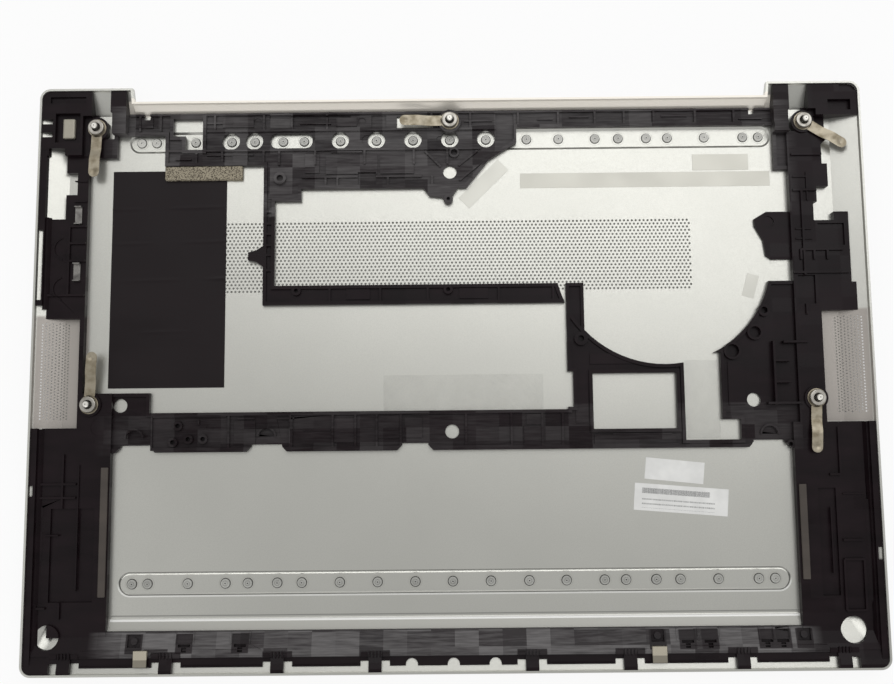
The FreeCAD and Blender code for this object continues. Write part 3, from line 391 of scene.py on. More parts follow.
@dataclass(frozen=True)
class SatinMetal(Finish):
    """Satin metal paint with a fine sparkle, rubbed a little along its length, with painted light, painted shade and
    painted highlights laid over chosen areas.
    """

    sparkle_size: float = 0.28
    sparkle: float = 0.10
    inner_face: float = 2.05
    painted_light_zones: tuple[PaintedLightZone, ...] = ()
    # Half length, middle and radius of the front channel, round which shade and a highlight are painted.
    channel: tuple[float, float, float] = (120.0, -78.0, 3.95)

    def build(self, graph: ShaderGraph) -> bpy.types.Material:
        """Build the paint: broad clouds, a fine speckle, a faint orange peel, and the areas of painted light and shade.
        """
        clouds = graph.noise(38.0, 2.0)
        speckle = graph.noise(self.sparkle_size, 1.0)
        peel = graph.noise(1.4, 2.0, stretch=(1.6, 1.0, 1.0))
        tone = self.tinted(graph, clouds)
        dark = tuple(c * (1 - self.sparkle) for c in self.color)
        color = graph.blend(graph.spread(speckle, 0.35, 0.62, 0.55, 0.0), tone, dark)
        inner = graph.part(graph.millimetres(), "Z") > self.inner_face
        matt: Operand = 0.0
        for zone in self.painted_light_zones:
            # Paint light or shade into the colour over each area, and make the metal less metallic there.
            painted_light_mask = self._painted_light_mask(graph, zone) * inner * zone.share
            color = graph.blend(painted_light_mask, color, zone.color)
            matt = painted_light_mask + matt
        color = self._paint_channel_shade_and_highlight(graph, color)
        rough = graph.spread(speckle, 0.3, 0.7, self.roughness + 0.06, self.roughness - 0.06)
        relief = speckle * 0.5 + peel * 0.5
        return graph.surface(
            {
                "Base Color": color,
                "Roughness": rough,
                "Metallic": graph.spread(matt, 0.0, 1.0, self.metallic, 0.15) if self.painted_light_zones else self.metallic,
                "Specular IOR Level": self.specular,
                "Normal": graph.bump(relief, 0.02, 0.35),
            }
        )

    def _paint_channel_shade_and_highlight(self, graph: ShaderGraph, color: Signal) -> Signal:
        """Paint shade and a highlight round the sharp fold of the front channel: a dark line of painted shade, and a
        bright painted highlight on its front side.
        """
        half, middle, radius = self.channel
        beyond = graph.spread(abs(graph.part(graph.millimetres(), "X")), half, half + 20.0, 0.0, 20.0)
        across = graph.part(graph.millimetres(), "Y") - middle
        reach = graph.add("ShaderNodeMath", {"operation": "SQRT"}, {0: beyond * beyond + across * across})
        dark = (reach > radius - 0.15) * (reach < radius + graph.spread(across, -1.0, 1.0, 0.17, 0.42))
        bright = (reach > radius + 0.22) * (reach < radius + 0.78) * graph.spread(across, -1.5, 0.5, 1.0, 0.0)
        # Painted shade along the fold, then a painted highlight on its front side.
        color = graph.blend(dark * 0.8, color, (0.06, 0.06, 0.055))
        return graph.blend(bright * 0.85, color, (0.93, 0.93, 0.89))

    @staticmethod
    def _painted_light_mask(graph: ShaderGraph, zone: PaintedLightZone) -> Signal:
        """One inside an area of painted light or shade, on both sides where it is mirrored."""
        across = graph.within("Y", *zone.y, zone.soft)
        if not zone.mirrored:
            return graph.within("X", *zone.x, zone.soft) * across
        size = abs(graph.part(graph.millimetres(), "X"))
        low, high = zone.x
        inside = graph.spread(size, low - zone.soft, low + zone.soft)
        return inside * graph.spread(size, high - zone.soft, high + zone.soft, 1.0, 0.0) * across


@dataclass(frozen=True)
class MouldedPlastic(Finish):
    """Fine-grained moulded plastic with smoother flow marks."""

    grain_size: float = 0.3
    grain_depth: float = 0.03
    flow_size: float = 9.0

    def build(self, graph: ShaderGraph) -> bpy.types.Material:
        """Build the plastic: grain, flow marks and a slight change of gloss."""
        grain = graph.noise(self.grain_size, 2.0)
        flow = graph.noise(self.flow_size, 3.0, stretch=(2.0, 0.7, 1.0))
        return graph.surface(
            {
                "Base Color": self.tinted(graph, flow),
                "Roughness": graph.spread(flow, 0.35, 0.65, self.roughness - 0.10, self.roughness + 0.08),
                "Metallic": self.metallic,
                "Specular IOR Level": self.specular,
                "Normal": graph.bump(grain * 0.7 + flow * 0.3, self.grain_depth, 0.5),
            }
        )


@dataclass(frozen=True)
class PanelledPlastic(MouldedPlastic):
    """Black moulding whose bands have panels of different gloss, and a pale colour in panels and streaks that is partly
    flow streaks and partly painted sheen of the lamps' reflection.
    """

    sheen_and_flow_color: Color = (0.165, 0.158, 0.158)
    bands: tuple[tuple[float, float, float, float], ...] = (
        (-103.8, -94.9, 0.12, 1.0), (-30.6, -13.0, 0.0, 0.20), (60.0, 103.0, 0.02, 0.55),
    )
    half_length: float = 129.0
    panel: tuple[float, float] = (8.7, 5.3)
    # Places along X where the hooks and pockets get painted shade.
    hooks: tuple[float, ...] = ()
    pockets: tuple[float, ...] = ()

    def build(self, graph: ShaderGraph) -> bpy.types.Material:
        """Build the plastic: grain, and panels and streaks of pale colour in the bands, partly flow streaks and partly
        painted sheen, with painted shade in the hooks and pockets.
        """
        grain = graph.noise(self.grain_size, 2.0)
        flow = graph.noise(self.flow_size, 3.0, stretch=(2.0, 0.7, 1.0))
        streaks = graph.noise(0.9, 3.0, stretch=(9.0, 0.8, 1.0))
        width, depth = self.panel
        cells = graph.scaled(graph.millimetres(), (1 / width, 1 / depth, 0.0))
        corner = graph.add("ShaderNodeVectorMath", {"operation": "FLOOR"}, {0: cells})
        panels = graph.add("ShaderNodeTexWhiteNoise", inputs={"Vector": corner})
        share: Operand = 0.0
        # Each band's pale colour is partly flow streaks and partly painted sheen where the band faces the lamps.
        for low, high, least, most in self.bands:
            level = graph.spread(panels * 0.65 + graph.spread(streaks, 0.3, 0.7) * 0.35, 0.2, 0.9, least, most)
            share = level * graph.within("Y", low, high, 0.3) + share
        share = share * graph.within("X", -self.half_length, self.half_length, 5.0)
        # Painted shade: the pale colour is taken away inside the hooks and the latch and square pockets, so they stay
        # dark.
        for places, reach, (low, high) in ((self.hooks, 5.4, (-112.0, -101.7)), (self.pockets, 3.1, (-102.3, -95.6))):
            share = share * (1.0 - self._near(graph, places, reach) * graph.within("Y", low, high) * 0.85)
        return graph.surface(
            {
                "Base Color": graph.blend(share, self.tinted(graph, flow), self.sheen_and_flow_color),
                "Roughness": graph.spread(
                    panels * 0.5 + flow * 0.5, 0.2, 0.8, self.roughness - 0.14, self.roughness + 0.10
                ),
                "Specular IOR Level": self.specular,
                "Normal": graph.bump(grain * 0.6 + streaks * 0.4, self.grain_depth, 0.6),
            }
        )

    @staticmethod
    def _near(graph: ShaderGraph, places: Sequence[float], reach: float) -> Signal:
        """One within a reach of the nearest of some places along X."""
        along = graph.part(graph.millimetres(), "X")
        near: Operand = 999.0
        for place in places:
            near = graph.add("ShaderNodeMath", {"operation": "MINIMUM"}, {0: abs(along - place), 1: near})
        return graph.spread(near, reach - 0.15, reach + 0.15, 1.0, 0.0)


@dataclass(frozen=True)
class ScrewTip(Finish):
    """Bright steel with a dimple and a ring at each screw's tip painted dark as shade."""

    centres: tuple[tuple[float, float], ...] = ()
    dimple: float = 0.22
    ring: tuple[float, float] = (1.15, 1.75)

    def build(self, graph: ShaderGraph) -> bpy.types.Material:
        """Build the steel: its painted shade is laid out round the screws' axes."""
        place = graph.scaled(graph.millimetres(), (1.0, 1.0, 0.0))
        near: Operand = 99.0
        for x, y in self.centres:
            reach = graph.add("ShaderNodeVectorMath", {"operation": "DISTANCE"}, {0: place, 1: (x, y, 0.0)}, "Value")
            near = graph.add("ShaderNodeMath", {"operation": "MINIMUM"}, {0: reach, 1: near})
        low, high = self.ring
        # Painted shade: a dark dot in the dimple and a dark ring round each screw's tip.
        marks = (near < self.dimple) + (near > low) * (near < high)
        worn = graph.noise(0.6, 2.0)
        return graph.surface(
            {
                "Base Color": graph.blend(marks * 0.9, self.tinted(graph, worn), (0.03, 0.028, 0.026)),
                "Roughness": graph.spread(worn, 0.3, 0.7, self.roughness - 0.06, self.roughness + 0.10),
                "Metallic": self.metallic,
                "Specular IOR Level": self.specular,
                "Normal": graph.bump(worn, 0.01, 0.4),
            }
        )


@dataclass(frozen=True)
class StainedSheet(Finish):
    """Rolled sheet with heat stains and fine rolling lines."""

    stain: Color = (0.2, 0.16, 0.11)

    def build(self, graph: ShaderGraph) -> bpy.types.Material:
        """Build the sheet: stains, lines and worn edges."""
        stains = graph.noise(3.2, 3.0)
        lines = graph.noise(0.12, 2.0, stretch=(1.0, 14.0, 1.0))
        return graph.surface(
            {
                "Base Color": graph.blend(graph.spread(stains, 0.42, 0.68, 0.0, 0.7), self.color, self.stain),
                "Roughness": graph.spread(stains, 0.3, 0.7, self.roughness - 0.08, self.roughness + 0.10),
                "Metallic": self.metallic,
                "Specular IOR Level": self.specular,
                "Normal": graph.bump(lines, 0.006, 0.4),
            }
        )


@dataclass(frozen=True)
class OpenFoam(Finish):
    """Open foam: pale strands round dark pores."""

    pore_color: Color = (0.05, 0.04, 0.03)
    pore_size: float = 0.55

    def build(self, graph: ShaderGraph) -> bpy.types.Material:
        """Build the foam: pores and strands."""
        pores = graph.cells(self.pore_size)
        mottle = graph.noise(0.9, 3.0)
        open_share = graph.spread(pores + mottle * 0.5, 0.45, 0.85)
        return graph.surface(
            {
                "Base Color": graph.blend(open_share, self.pore_color, self.color),
                "Roughness": self.roughness,
                "Specular IOR Level": self.specular,
                "Normal": graph.bump(pores, 0.3, 0.7),
            }
        )


@dataclass(frozen=True)
class WovenCloth(Finish):
    """Conductive cloth: a plain weave of flat metallic threads, painted darker as shade where it folds down past
    fold_y.
    """

    thread: float = 0.28
    fold_y: float = -1000.0
    shaded: float = 0.42

    def build(self, graph: ShaderGraph) -> bpy.types.Material:
        """Build the cloth: crossed threads with a soft gleam, and painted shade on the part that folds down."""
        place = graph.millimetres()
        turns = math.tau / (2 * self.thread)
        warp = graph.add("ShaderNodeMath", {"operation": "SINE"}, {0: graph.part(place, "X") * turns})
        weft = graph.add("ShaderNodeMath", {"operation": "SINE"}, {0: graph.part(place, "Y") * turns})
        weave = warp * weft * 0.5 + 0.5
        dark = tuple(c * 0.62 for c in self.color)
        color = graph.blend(weave, dark, self.color)
        # Painted shade on the part of the cloth that turns down past fold_y.
        folded = graph.part(place, "Y") < self.fold_y
        return graph.surface(
            {
                "Base Color": graph.blend(folded, color, tuple(c * self.shaded for c in self.color)),
                "Roughness": graph.spread(weave, 0.0, 1.0, self.roughness + 0.1, self.roughness - 0.1),
                "Metallic": self.metallic,
                "Specular IOR Level": self.specular,
                "Normal": graph.bump(weave, 0.05, 0.6),
            }
        )


@dataclass(frozen=True)
class SheerSheet(Finish):
    """A thin plastic sheet that shows what it lies on."""

    cover: float = 0.5

    def build(self, graph: ShaderGraph) -> bpy.types.Material:
        """Build the sheet: an even tint with faint waves."""
        waves = graph.noise(6.0, 2.0)
        return graph.surface(
            {
                "Base Color": self.tinted(graph, waves),
                "Roughness": graph.spread(waves, 0.3, 0.7, self.roughness - 0.06, self.roughness + 0.06),
                "Specular IOR Level": self.specular,
                "Alpha": graph.spread(waves, 0.2, 0.8, self.cover - 0.04, self.cover + 0.04),
                "Normal": graph.bump(waves, 0.05, 0.3),
            }
        )


@dataclass(frozen=True)
class PrintedLabel(Finish):
    """A white label with plain grey bars on it, which say nothing."""

    ink: Color = (0.05, 0.05, 0.055)
    centre: tuple[float, float] = (0.0, 0.0)
    size: tuple[float, float] = (30.0, 10.0)
    turn: float = 0.0
    line_rows: int = 0

    def build(self, graph: ShaderGraph) -> bpy.types.Material:
        """Build the label: paper, and bars laid out along its own axes."""
        paper = self.tinted(graph, graph.noise(5.0, 2.0))
        color = paper
        if self.line_rows:
            color = graph.blend(self._bars(graph), paper, self.ink)
        return graph.surface(
            {
                "Base Color": color,
                "Roughness": self.roughness,
                "Specular IOR Level": self.specular,
                "Normal": graph.bump(graph.noise(0.5, 1.0), 0.01, 0.3),
            }
        )

    def _bars(self, graph: ShaderGraph) -> Signal:
        """One where a bar or a dash is, in the label's own axes."""
        place = graph.add(
            "ShaderNodeMapping",
            {"vector_type": "TEXTURE"},
            {
                "Vector": graph.millimetres(),
                "Location": (self.centre[0], self.centre[1], 0.0),
                "Rotation": (0.0, 0.0, math.radians(self.turn)),
            },
        )
        along = graph.part(place, "X")
        across = graph.part(place, "Y")
        length, height = self.size
        columns = graph.add(
            "ShaderNodeTexNoise", {"noise_dimensions": "1D"}, {"W": along * 2.4, "Detail": 0.0}
        )
        bars = (columns > 0.5) * (across > height * 0.14) * (across < height * 0.34)
        bars = bars * (along > -length * 0.42) * (along < length * 0.30)
        row_height = height * 0.17
        rows = graph.add("ShaderNodeMath", {"operation": "FRACT"}, {0: across / row_height + 10.0})
        dashes = graph.add(
            "ShaderNodeTexNoise", {"noise_dimensions": "1D"}, {"W": along * 1.1, "Detail": 3.0}
        )
        text = (rows > 0.4) * (rows < 0.72) * (dashes > 0.47) * (across < height * 0.06)
        text = text * (across > -height * 0.40) * (along > -length * 0.42) * (along < length * 0.36)
        return bars + text * 0.6


FASTENER_PLACES = ((-136.0, 95.0), (0.0, 96.6), (136.0, 95.0), (-136.0, -11.6), (136.0, -11.6))
SATIN_SILVER = SatinMetal(
    "satin_silver_paint", (0.585, 0.583, 0.54), 0.34, 0.9, tint_change=0.025,
    painted_light_zones=(
        # Painted shade: the loudspeaker grilles on both sides are darkened and warmed.
        PaintedLightZone((138.0, 156.6), (-20.4, 22.0), (0.36, 0.325, 0.295), 0.85, 0.5, mirrored=True),
        # Painted light: the rear wall, which faces away from the lamp, is painted near white.
        PaintedLightZone((-128.0, 128.0), (100.4, 106.0), (0.93, 0.88, 0.79), 1.0, 0.2),
        # Painted shade: the front slope strip, which reflects the rear lamp brightly, is darkened.
        PaintedLightZone((-127.0, 127.0), (-95.0, -90.6), (0.42, 0.415, 0.38), 0.9, 0.1),
        # Painted highlight: a bright line along the lower fold before the front slope.
        PaintedLightZone((-127.0, 127.0), (-91.5, -90.7), (0.95, 0.95, 0.92), 0.9, 0.12),
        # Painted shade: a dark line along the upper fold before the front slope.
        PaintedLightZone((-127.0, 127.0), (-89.7, -89.3), (0.16, 0.16, 0.15), 0.7, 0.12),
    ),
)
BLACK_MOULDING = PanelledPlastic(
    "black_glass_filled", (0.0085, 0.0045, 0.0058), 0.40, specular=0.15, tint_change=0.3, hooks=HOOKS,
    pockets=tuple((low + high) / 2 for low, high in LATCHES) + tuple(x for x, _ in SQUARE_POCKETS),
)
SLEEVE_STEEL = StainedSheet("turned_sleeve", (0.46, 0.44, 0.40), 0.36, 0.95, stain=(0.22, 0.20, 0.17))
SCREW_STEEL = ScrewTip("bright_screw", (0.80, 0.78, 0.72), 0.4, 0.7, centres=FASTENER_PLACES)
SPRING_NICKEL = StainedSheet("warm_nickel", (0.36, 0.32, 0.245), 0.38, 0.8, stain=(0.16, 0.13, 0.08))
STAKE_GREY = MouldedPlastic("staked_grey", (0.60, 0.595, 0.56), 0.42, specular=0.4, tint_change=0.12)
# The front strip's heads get a darker grey than the rear strip's.
STAKE_DARKER = MouldedPlastic("staked_darker_grey", (0.40, 0.40, 0.375), 0.42, specular=0.4, tint_change=0.12)
# Painted shade for the seams round the staked heads and the dimples in them.
GROOVE_SHADE = MouldedPlastic("painted_groove_shade", (0.035, 0.034, 0.032), 0.7, specular=0.1, tint_change=0.2)
BLACK_FILM = MouldedPlastic(
    "creased_black_film", (0.0135, 0.0098, 0.0108), 0.42, specular=0.14, tint_change=0.1, grain_size=0.6, flow_size=24.0
)
BROWN_FOAM = OpenFoam("brown_open_foam", (0.36, 0.32, 0.24), 0.95, specular=0.15)
FOOT_RUBBER = MouldedPlastic("foot_rubber_black", (0.02, 0.02, 0.021), 0.75, specular=0.3, tint_change=0.15)
GREY_TAPE = Finish("frosted_grey_tape", (0.485, 0.477, 0.43), 0.40, 0.85, tint_change=0.02)
PALE_TAPE = Finish("frosted_pale_tape", (0.53, 0.525, 0.48), 0.40, 0.85, tint_change=0.02)
CLEAR_SHEET = SheerSheet("clear_insulating_film", (0.82, 0.82, 0.78), 0.25, specular=0.35, cover=0.07)
LABEL_PLAIN = PrintedLabel("plain_white_label", (0.78, 0.78, 0.76), 0.5)
LABEL_BARRED = PrintedLabel(
    "barred_white_label", (0.78, 0.78, 0.76), 0.5, centre=(84.9, -48.9), size=(35.0, 10.0), turn=-4.7, line_rows=3
)
RAIL_GREY = MouldedPlastic("rail_grey", (0.075, 0.064, 0.056), 0.7, specular=0.2, tint_change=0.15)
CLIP_STEEL = StainedSheet("pressed_clip", (0.26, 0.25, 0.235), 0.34, 0.9, stain=(0.05, 0.045, 0.045))
SIDE_CLOTH = WovenCloth("woven_side_contact", (0.47, 0.44, 0.36), 0.5, 0.35)
# The part folded down the front of the band is painted in shade.
FRONT_CLOTH = WovenCloth("woven_front_contact", (0.58, 0.53, 0.42), 0.5, 0.3, fold_y=-104.2)


def apply_modifiers(piece: bpy.types.Object) -> None:
    """Replace a piece's mesh by what its modifiers make of it.

    Args:
        piece: The piece, whose modifiers are then gone.
    """
    graph = bpy.context.evaluated_depsgraph_get()
    made = bpy.data.meshes.new_from_object(piece.evaluated_get(graph))
    piece.modifiers.clear()
    piece.data = made


def mesh_piece(name: str, builder: bmesh.types.BMesh) -> bpy.types.Object:
    """Turn a bmesh into an object of the scene and free it.

    Args:
        name: The object's name.
        builder: The mesh under construction.

    Returns:
        The new object, at the origin.
    """
    mesh = bpy.data.meshes.new(name)
    builder.to_mesh(mesh)
    builder.free()
    piece = bpy.data.objects.new(name, mesh)
    bpy.context.scene.collection.objects.link(piece)
    return piece


def combine(piece: bpy.types.Object, tool: bpy.types.Object, how: Boolean) -> None:
    """Join a tool mesh to a piece, or pierce the piece with it, and delete the tool.

    Args:
        piece: The piece that changes.
        tool: The closed mesh that changes it.
        how: Which of the two is done.
    """
    modifier = piece.modifiers.new(how.name.lower(), "BOOLEAN")
    modifier.operation = how.value
    modifier.solver = "MANIFOLD"
    modifier.object = tool
    bpy.context.view_layer.update()
    apply_modifiers(piece)
    bpy.data.objects.remove(tool)


def dress(piece: bpy.types.Object, finish: Finish) -> bpy.types.Object:
    """Give a piece its one finish.

    Args:
        piece: A CAD node or a scene piece.
        finish: The finish it gets.

    Returns:
        The same piece.
    """
    piece.data.materials.clear()
    piece.data.materials.append(finish.material())
    return piece


def soften_edges(piece: bpy.types.Object, width: float, segments: int = 1, angle: float = 38.0) -> None:
    """Round a piece's sharp edges with modifiers.

    Args:
        piece: The piece.
        width: The width of the rounding in millimetres.
        segments: How many faces it has.
        angle: The least angle in degrees that counts as an edge.
    """
    weld = piece.modifiers.new("weld", "WELD")
    weld.merge_threshold = 0.002 * MM
    bevel = piece.modifiers.new("edge_round", "BEVEL")
    bevel.width = width * MM
    bevel.segments = segments
    bevel.limit_method = "ANGLE"
    bevel.angle_limit = math.radians(angle)
    bevel.use_clamp_overlap = True
    bevel.miter_outer = "MITER_ARC"
    normals = piece.modifiers.new("face_normals", "WEIGHTED_NORMAL")
    normals.keep_sharp = True


def stand_in(piece: bpy.types.Object, *nodes: str) -> bpy.types.Object:
    """Let a scene piece ride on the part in place of its CAD nodes.

    Args:
        piece: The piece.
        *nodes: The CAD nodes that it stands for.

    Returns:
        The same piece.
    """
    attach(piece, BODY)
    if nodes:
        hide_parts(*nodes)
    log.info("%s: %d faces for %s", piece.name, len(piece.data.polygons), ", ".join(nodes) or "trim")
    return piece


@dataclass
class PerforatedTray:
    """The thin metal tray, with its real round perforations in place of long slots."""

    floor: float = 2.4
    under: float = 1.6
    slope_start: float = 147.3
    slope_end: float = 156.3
    slope_rise: float = 0.4447
    vent_rows: int = 21
    vent_columns: int = 122
    vent_row_pitch: float = 1.318
    vent_column_pitch: float = 1.508
    vent_centre_y: float = 44.35
    vent_radius: float = 0.46
    grille_rows: int = 32
    grille_columns: int = 9
    grille_row_pitch: float = 1.145
    grille_inner: float = 145.7
    grille_column_pitch: float = 1.11
    grille_centre_y: float = 1.3
    grille_radius: float = 0.31
    sink: float = 0.004
    hole_sides: int = 8
    channel: float = 1.8
    ring_section: tuple[tuple[float, float], ...] = ((2.30, -0.1), (2.36, 0.09), (2.52, 0.09), (2.60, -0.1))

    def build(self, nodes: dict[str, bpy.types.Object]) -> bpy.types.Object:
        """Fill the long slots, pierce the round holes and dress the tray.

        Args:
            nodes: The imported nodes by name.

        Returns:
            The tray.
        """
        builder = bmesh.new()
        builder.from_mesh(nodes["bottom_shell"].data)
        bmesh.ops.remove_doubles(builder, verts=builder.verts, dist=0.0015 * MM)
        tray = mesh_piece("perforated_tray", builder)
        combine(tray, self._fillings(), Boolean.JOIN)
        combine(tray, self._drills(), Boolean.PIERCE)
        self._emboss(tray)
        dress(tray, SATIN_SILVER)
        return stand_in(tray, "bottom_shell")

    def _emboss(self, tray: bpy.types.Object) -> None:
        """Add the pressed rings round the stakes and the two fold lines before the front slope.

        Args:
            tray: The pierced tray.
        """
        builder = bmesh.new()
        builder.from_mesh(tray.data)
        for places, y in ((REAR_STAKES, REAR_FOOT_Y), (FRONT_STAKES, FRONT_FOOT_Y)):
            for place in places:
                revolve(builder, self.ring_section, (place, y, self.channel), 24, closed=True)
        for y, half, height in ((-89.4, 0.22, 0.05), (-90.9, 0.30, 0.16)):
            base, crest = self.floor - 0.1, self.floor + height
            section = [(y - half, base), (y + half, base), (y + half * 0.4, crest), (y - half * 0.4, crest)]
            prism(builder, section, "X", -126.5, 126.5)
        builder.to_mesh(tray.data)
        builder.free()

    def _fillings(self) -> bpy.types.Object:
        """Slabs just inside the metal, over the vents and the two grilles."""
        builder = bmesh.new()
        half_depth = self.vent_rows * self.vent_row_pitch / 2 + 1.6
        low, high = self.under + self.sink, self.floor - self.sink
        centre = self.vent_centre_y
        block(builder, (-93.0, 93.0), (centre - half_depth, centre + half_depth), (low, high))
        for side in (-1.0, 1.0):
            prism(
                builder, self._slope_section(side), "Y", self.grille_centre_y - 20.0, self.grille_centre_y + 20.0
            )
        return mesh_piece("fillings", builder)

    def _slope_section(self, side: float) -> list[tuple[float, float]]:
        """The section of the metal over one loudspeaker, as (x, z)."""
        rise = self.slope_rise * (self.slope_end - self.slope_start)
        outer_rise = 0.45 * (self.slope_end - self.slope_start - 0.2)
        section = [
            (139.0, self.under + self.sink),
            (self.slope_start + 0.2, self.under + self.sink),
            (self.slope_end, self.under + self.sink + outer_rise),
            (self.slope_end, self.floor - self.sink + rise),
            (self.slope_start, self.floor - self.sink),
            (139.0, self.floor - self.sink),
        ]
        return [(x * side, z) for x, z in section]

    def _drills(self) -> bpy.types.Object:
        """One drill for every hole of the vents and the grilles."""
        builder = bmesh.new()
        for row in range(self.vent_rows):
            y = self.vent_centre_y + (row - (self.vent_rows - 1) / 2) * self.vent_row_pitch
            stagger = 0.25 if row % 2 else -0.25
            for column in range(self.vent_columns):
                x = (column - (self.vent_columns - 1) / 2 + stagger) * self.vent_column_pitch
                drill(builder, (x, y, self.floor - 0.4), (0.0, 0.0, 1.0), self.vent_radius, 1.6, self.hole_sides)
        slope = Vector((-self.slope_rise, 0.0, 1.0)).normalized()
        for side in (-1.0, 1.0):
            for column in range(self.grille_columns):
                x = self.grille_inner + column * self.grille_column_pitch
                z = self.floor - 0.4 + max(0.0, x - self.slope_start) * self.slope_rise
                axis = slope if x > self.slope_start else Vector((0.0, 0.0, 1.0))
                stagger = 0.25 if column % 2 else -0.25
                for row in range(self.grille_rows):
                    y = self.grille_centre_y + (row - (self.grille_rows - 1) / 2 + stagger) * self.grille_row_pitch
                    drill(
                        builder,
                        (x * side, y, z),
                        (axis.x * side, 0.0, axis.z),
                        self.grille_radius,
                        1.8,
                        self.hole_sides,
                    )
        return mesh_piece("drills", builder)


def prism(
    builder: bmesh.types.BMesh, section: Sequence[tuple[float, float]], axis: str, low: float, high: float
) -> None:
    """Add a bar of one section, which runs along an axis.

    Args:
        builder: The mesh under construction.
        section: The section's corners in millimetres: (x, z) for a bar along Y, (y, z) along X, (x, y) along Z.
        axis: The axis it runs along.
        low: Where it starts.
        high: Where it ends.
    """
    def at(corner: tuple[float, float], place: float) -> Vector:
        """A corner of the bar in metres."""
        first, second = corner
        points = {"X": (place, first, second), "Y": (first, place, second), "Z": (first, second, place)}
        return Vector(points[axis]) * MM

    near = [builder.verts.new(at(corner, low)) for corner in section]
    far = [builder.verts.new(at(corner, high)) for corner in section]
    count = len(section)
    faces = [builder.faces.new(near), builder.faces.new(list(reversed(far)))]
    for i in range(count):
        j = (i + 1) % count
        faces.append(builder.faces.new((near[j], near[i], far[i], far[j])))
    bmesh.ops.recalc_face_normals(builder, faces=faces)


def block(
    builder: bmesh.types.BMesh, x: tuple[float, float], y: tuple[float, float], z: tuple[float, float]
) -> None:
    """Add an upright box by its ranges in millimetres."""
    prism(builder, [(x[0], y[0]), (x[1], y[0]), (x[1], y[1]), (x[0], y[1])], "Z", z[0], z[1])


def arc(centre: tuple[float, float], radius: float, start: float, end: float, steps: int) -> list[tuple[float, float]]:
    """Corners along an arc in the plan, from one angle in degrees to another."""
    angles = [math.radians(start + (end - start) * step / steps) for step in range(steps + 1)]
    return [(centre[0] + radius * math.cos(a), centre[1] + radius * math.sin(a)) for a in angles]


def drill(
    builder: bmesh.types.BMesh, centre: Point, axis: Sequence[float], radius: float, length: float, sides: int
) -> None:
    """Add a closed cylinder that pierces a sheet.

    Args:
        builder: The mesh under construction.
        centre: The middle of the hole in millimetres.
        axis: The direction of the hole.
        radius: The hole's radius.
        length: The drill's length.
        sides: How many flat sides it has.
    """
    turn = Vector((0.0, 0.0, 1.0)).rotation_difference(Vector(axis)).to_matrix()
    rings = []
    for height in (-length / 2, length / 2):
        ring = []
        for step in range(sides):
            angle = math.tau * (step + 0.5) / sides
            place = turn @ Vector((radius * math.cos(angle), radius * math.sin(angle), height))
            ring.append(builder.verts.new((place + Vector(centre)) * MM))
        rings.append(ring)
    builder.faces.new(list(reversed(rings[0])))
    builder.faces.new(rings[1])
    for i in range(sides):
        j = (i + 1) % sides
        builder.faces.new((rings[0][i], rings[0][j], rings[1][j], rings[1][i]))


def revolve(
    builder: bmesh.types.BMesh,
    profile: Sequence[tuple[float, float]],
    centre: Point,
    sides: int = 28,
    closed: bool = False,
) -> None:
    """Add a turned form.

    Args:
        builder: The mesh under construction.
        profile: Its (radius, height) points in millimetres, from the top's middle to the bottom's middle, or round
            a section where it is closed.
        centre: Where its axis meets height nought.
        sides: How many steps go round.
        closed: Whether the last point joins the first.
    """
    rings: list[list[bmesh.types.BMVert]] = []
    for radius, height in profile:
        steps = sides if radius > 0 else 1
        rings.append(
            [
                builder.verts.new(
                    Vector(
                        (
                            centre[0] + radius * math.cos(math.tau * step / sides),
                            centre[1] + radius * math.sin(math.tau * step / sides),
                            centre[2] + height,
                        )
                    )
                    * MM
                )
                for step in range(steps)
            ]
        )
    pairs = list(zip(rings, rings[1:]))
    if closed:
        pairs.append((rings[-1], rings[0]))
    faces = []
    for upper, lower in pairs:
        for i in range(sides):
            j = (i + 1) % sides
            corners = [upper[i % len(upper)], lower[i % len(lower)], lower[j % len(lower)], upper[j % len(upper)]]
            faces.append(builder.faces.new(list(dict.fromkeys(corners))))
    bmesh.ops.recalc_face_normals(builder, faces=faces)


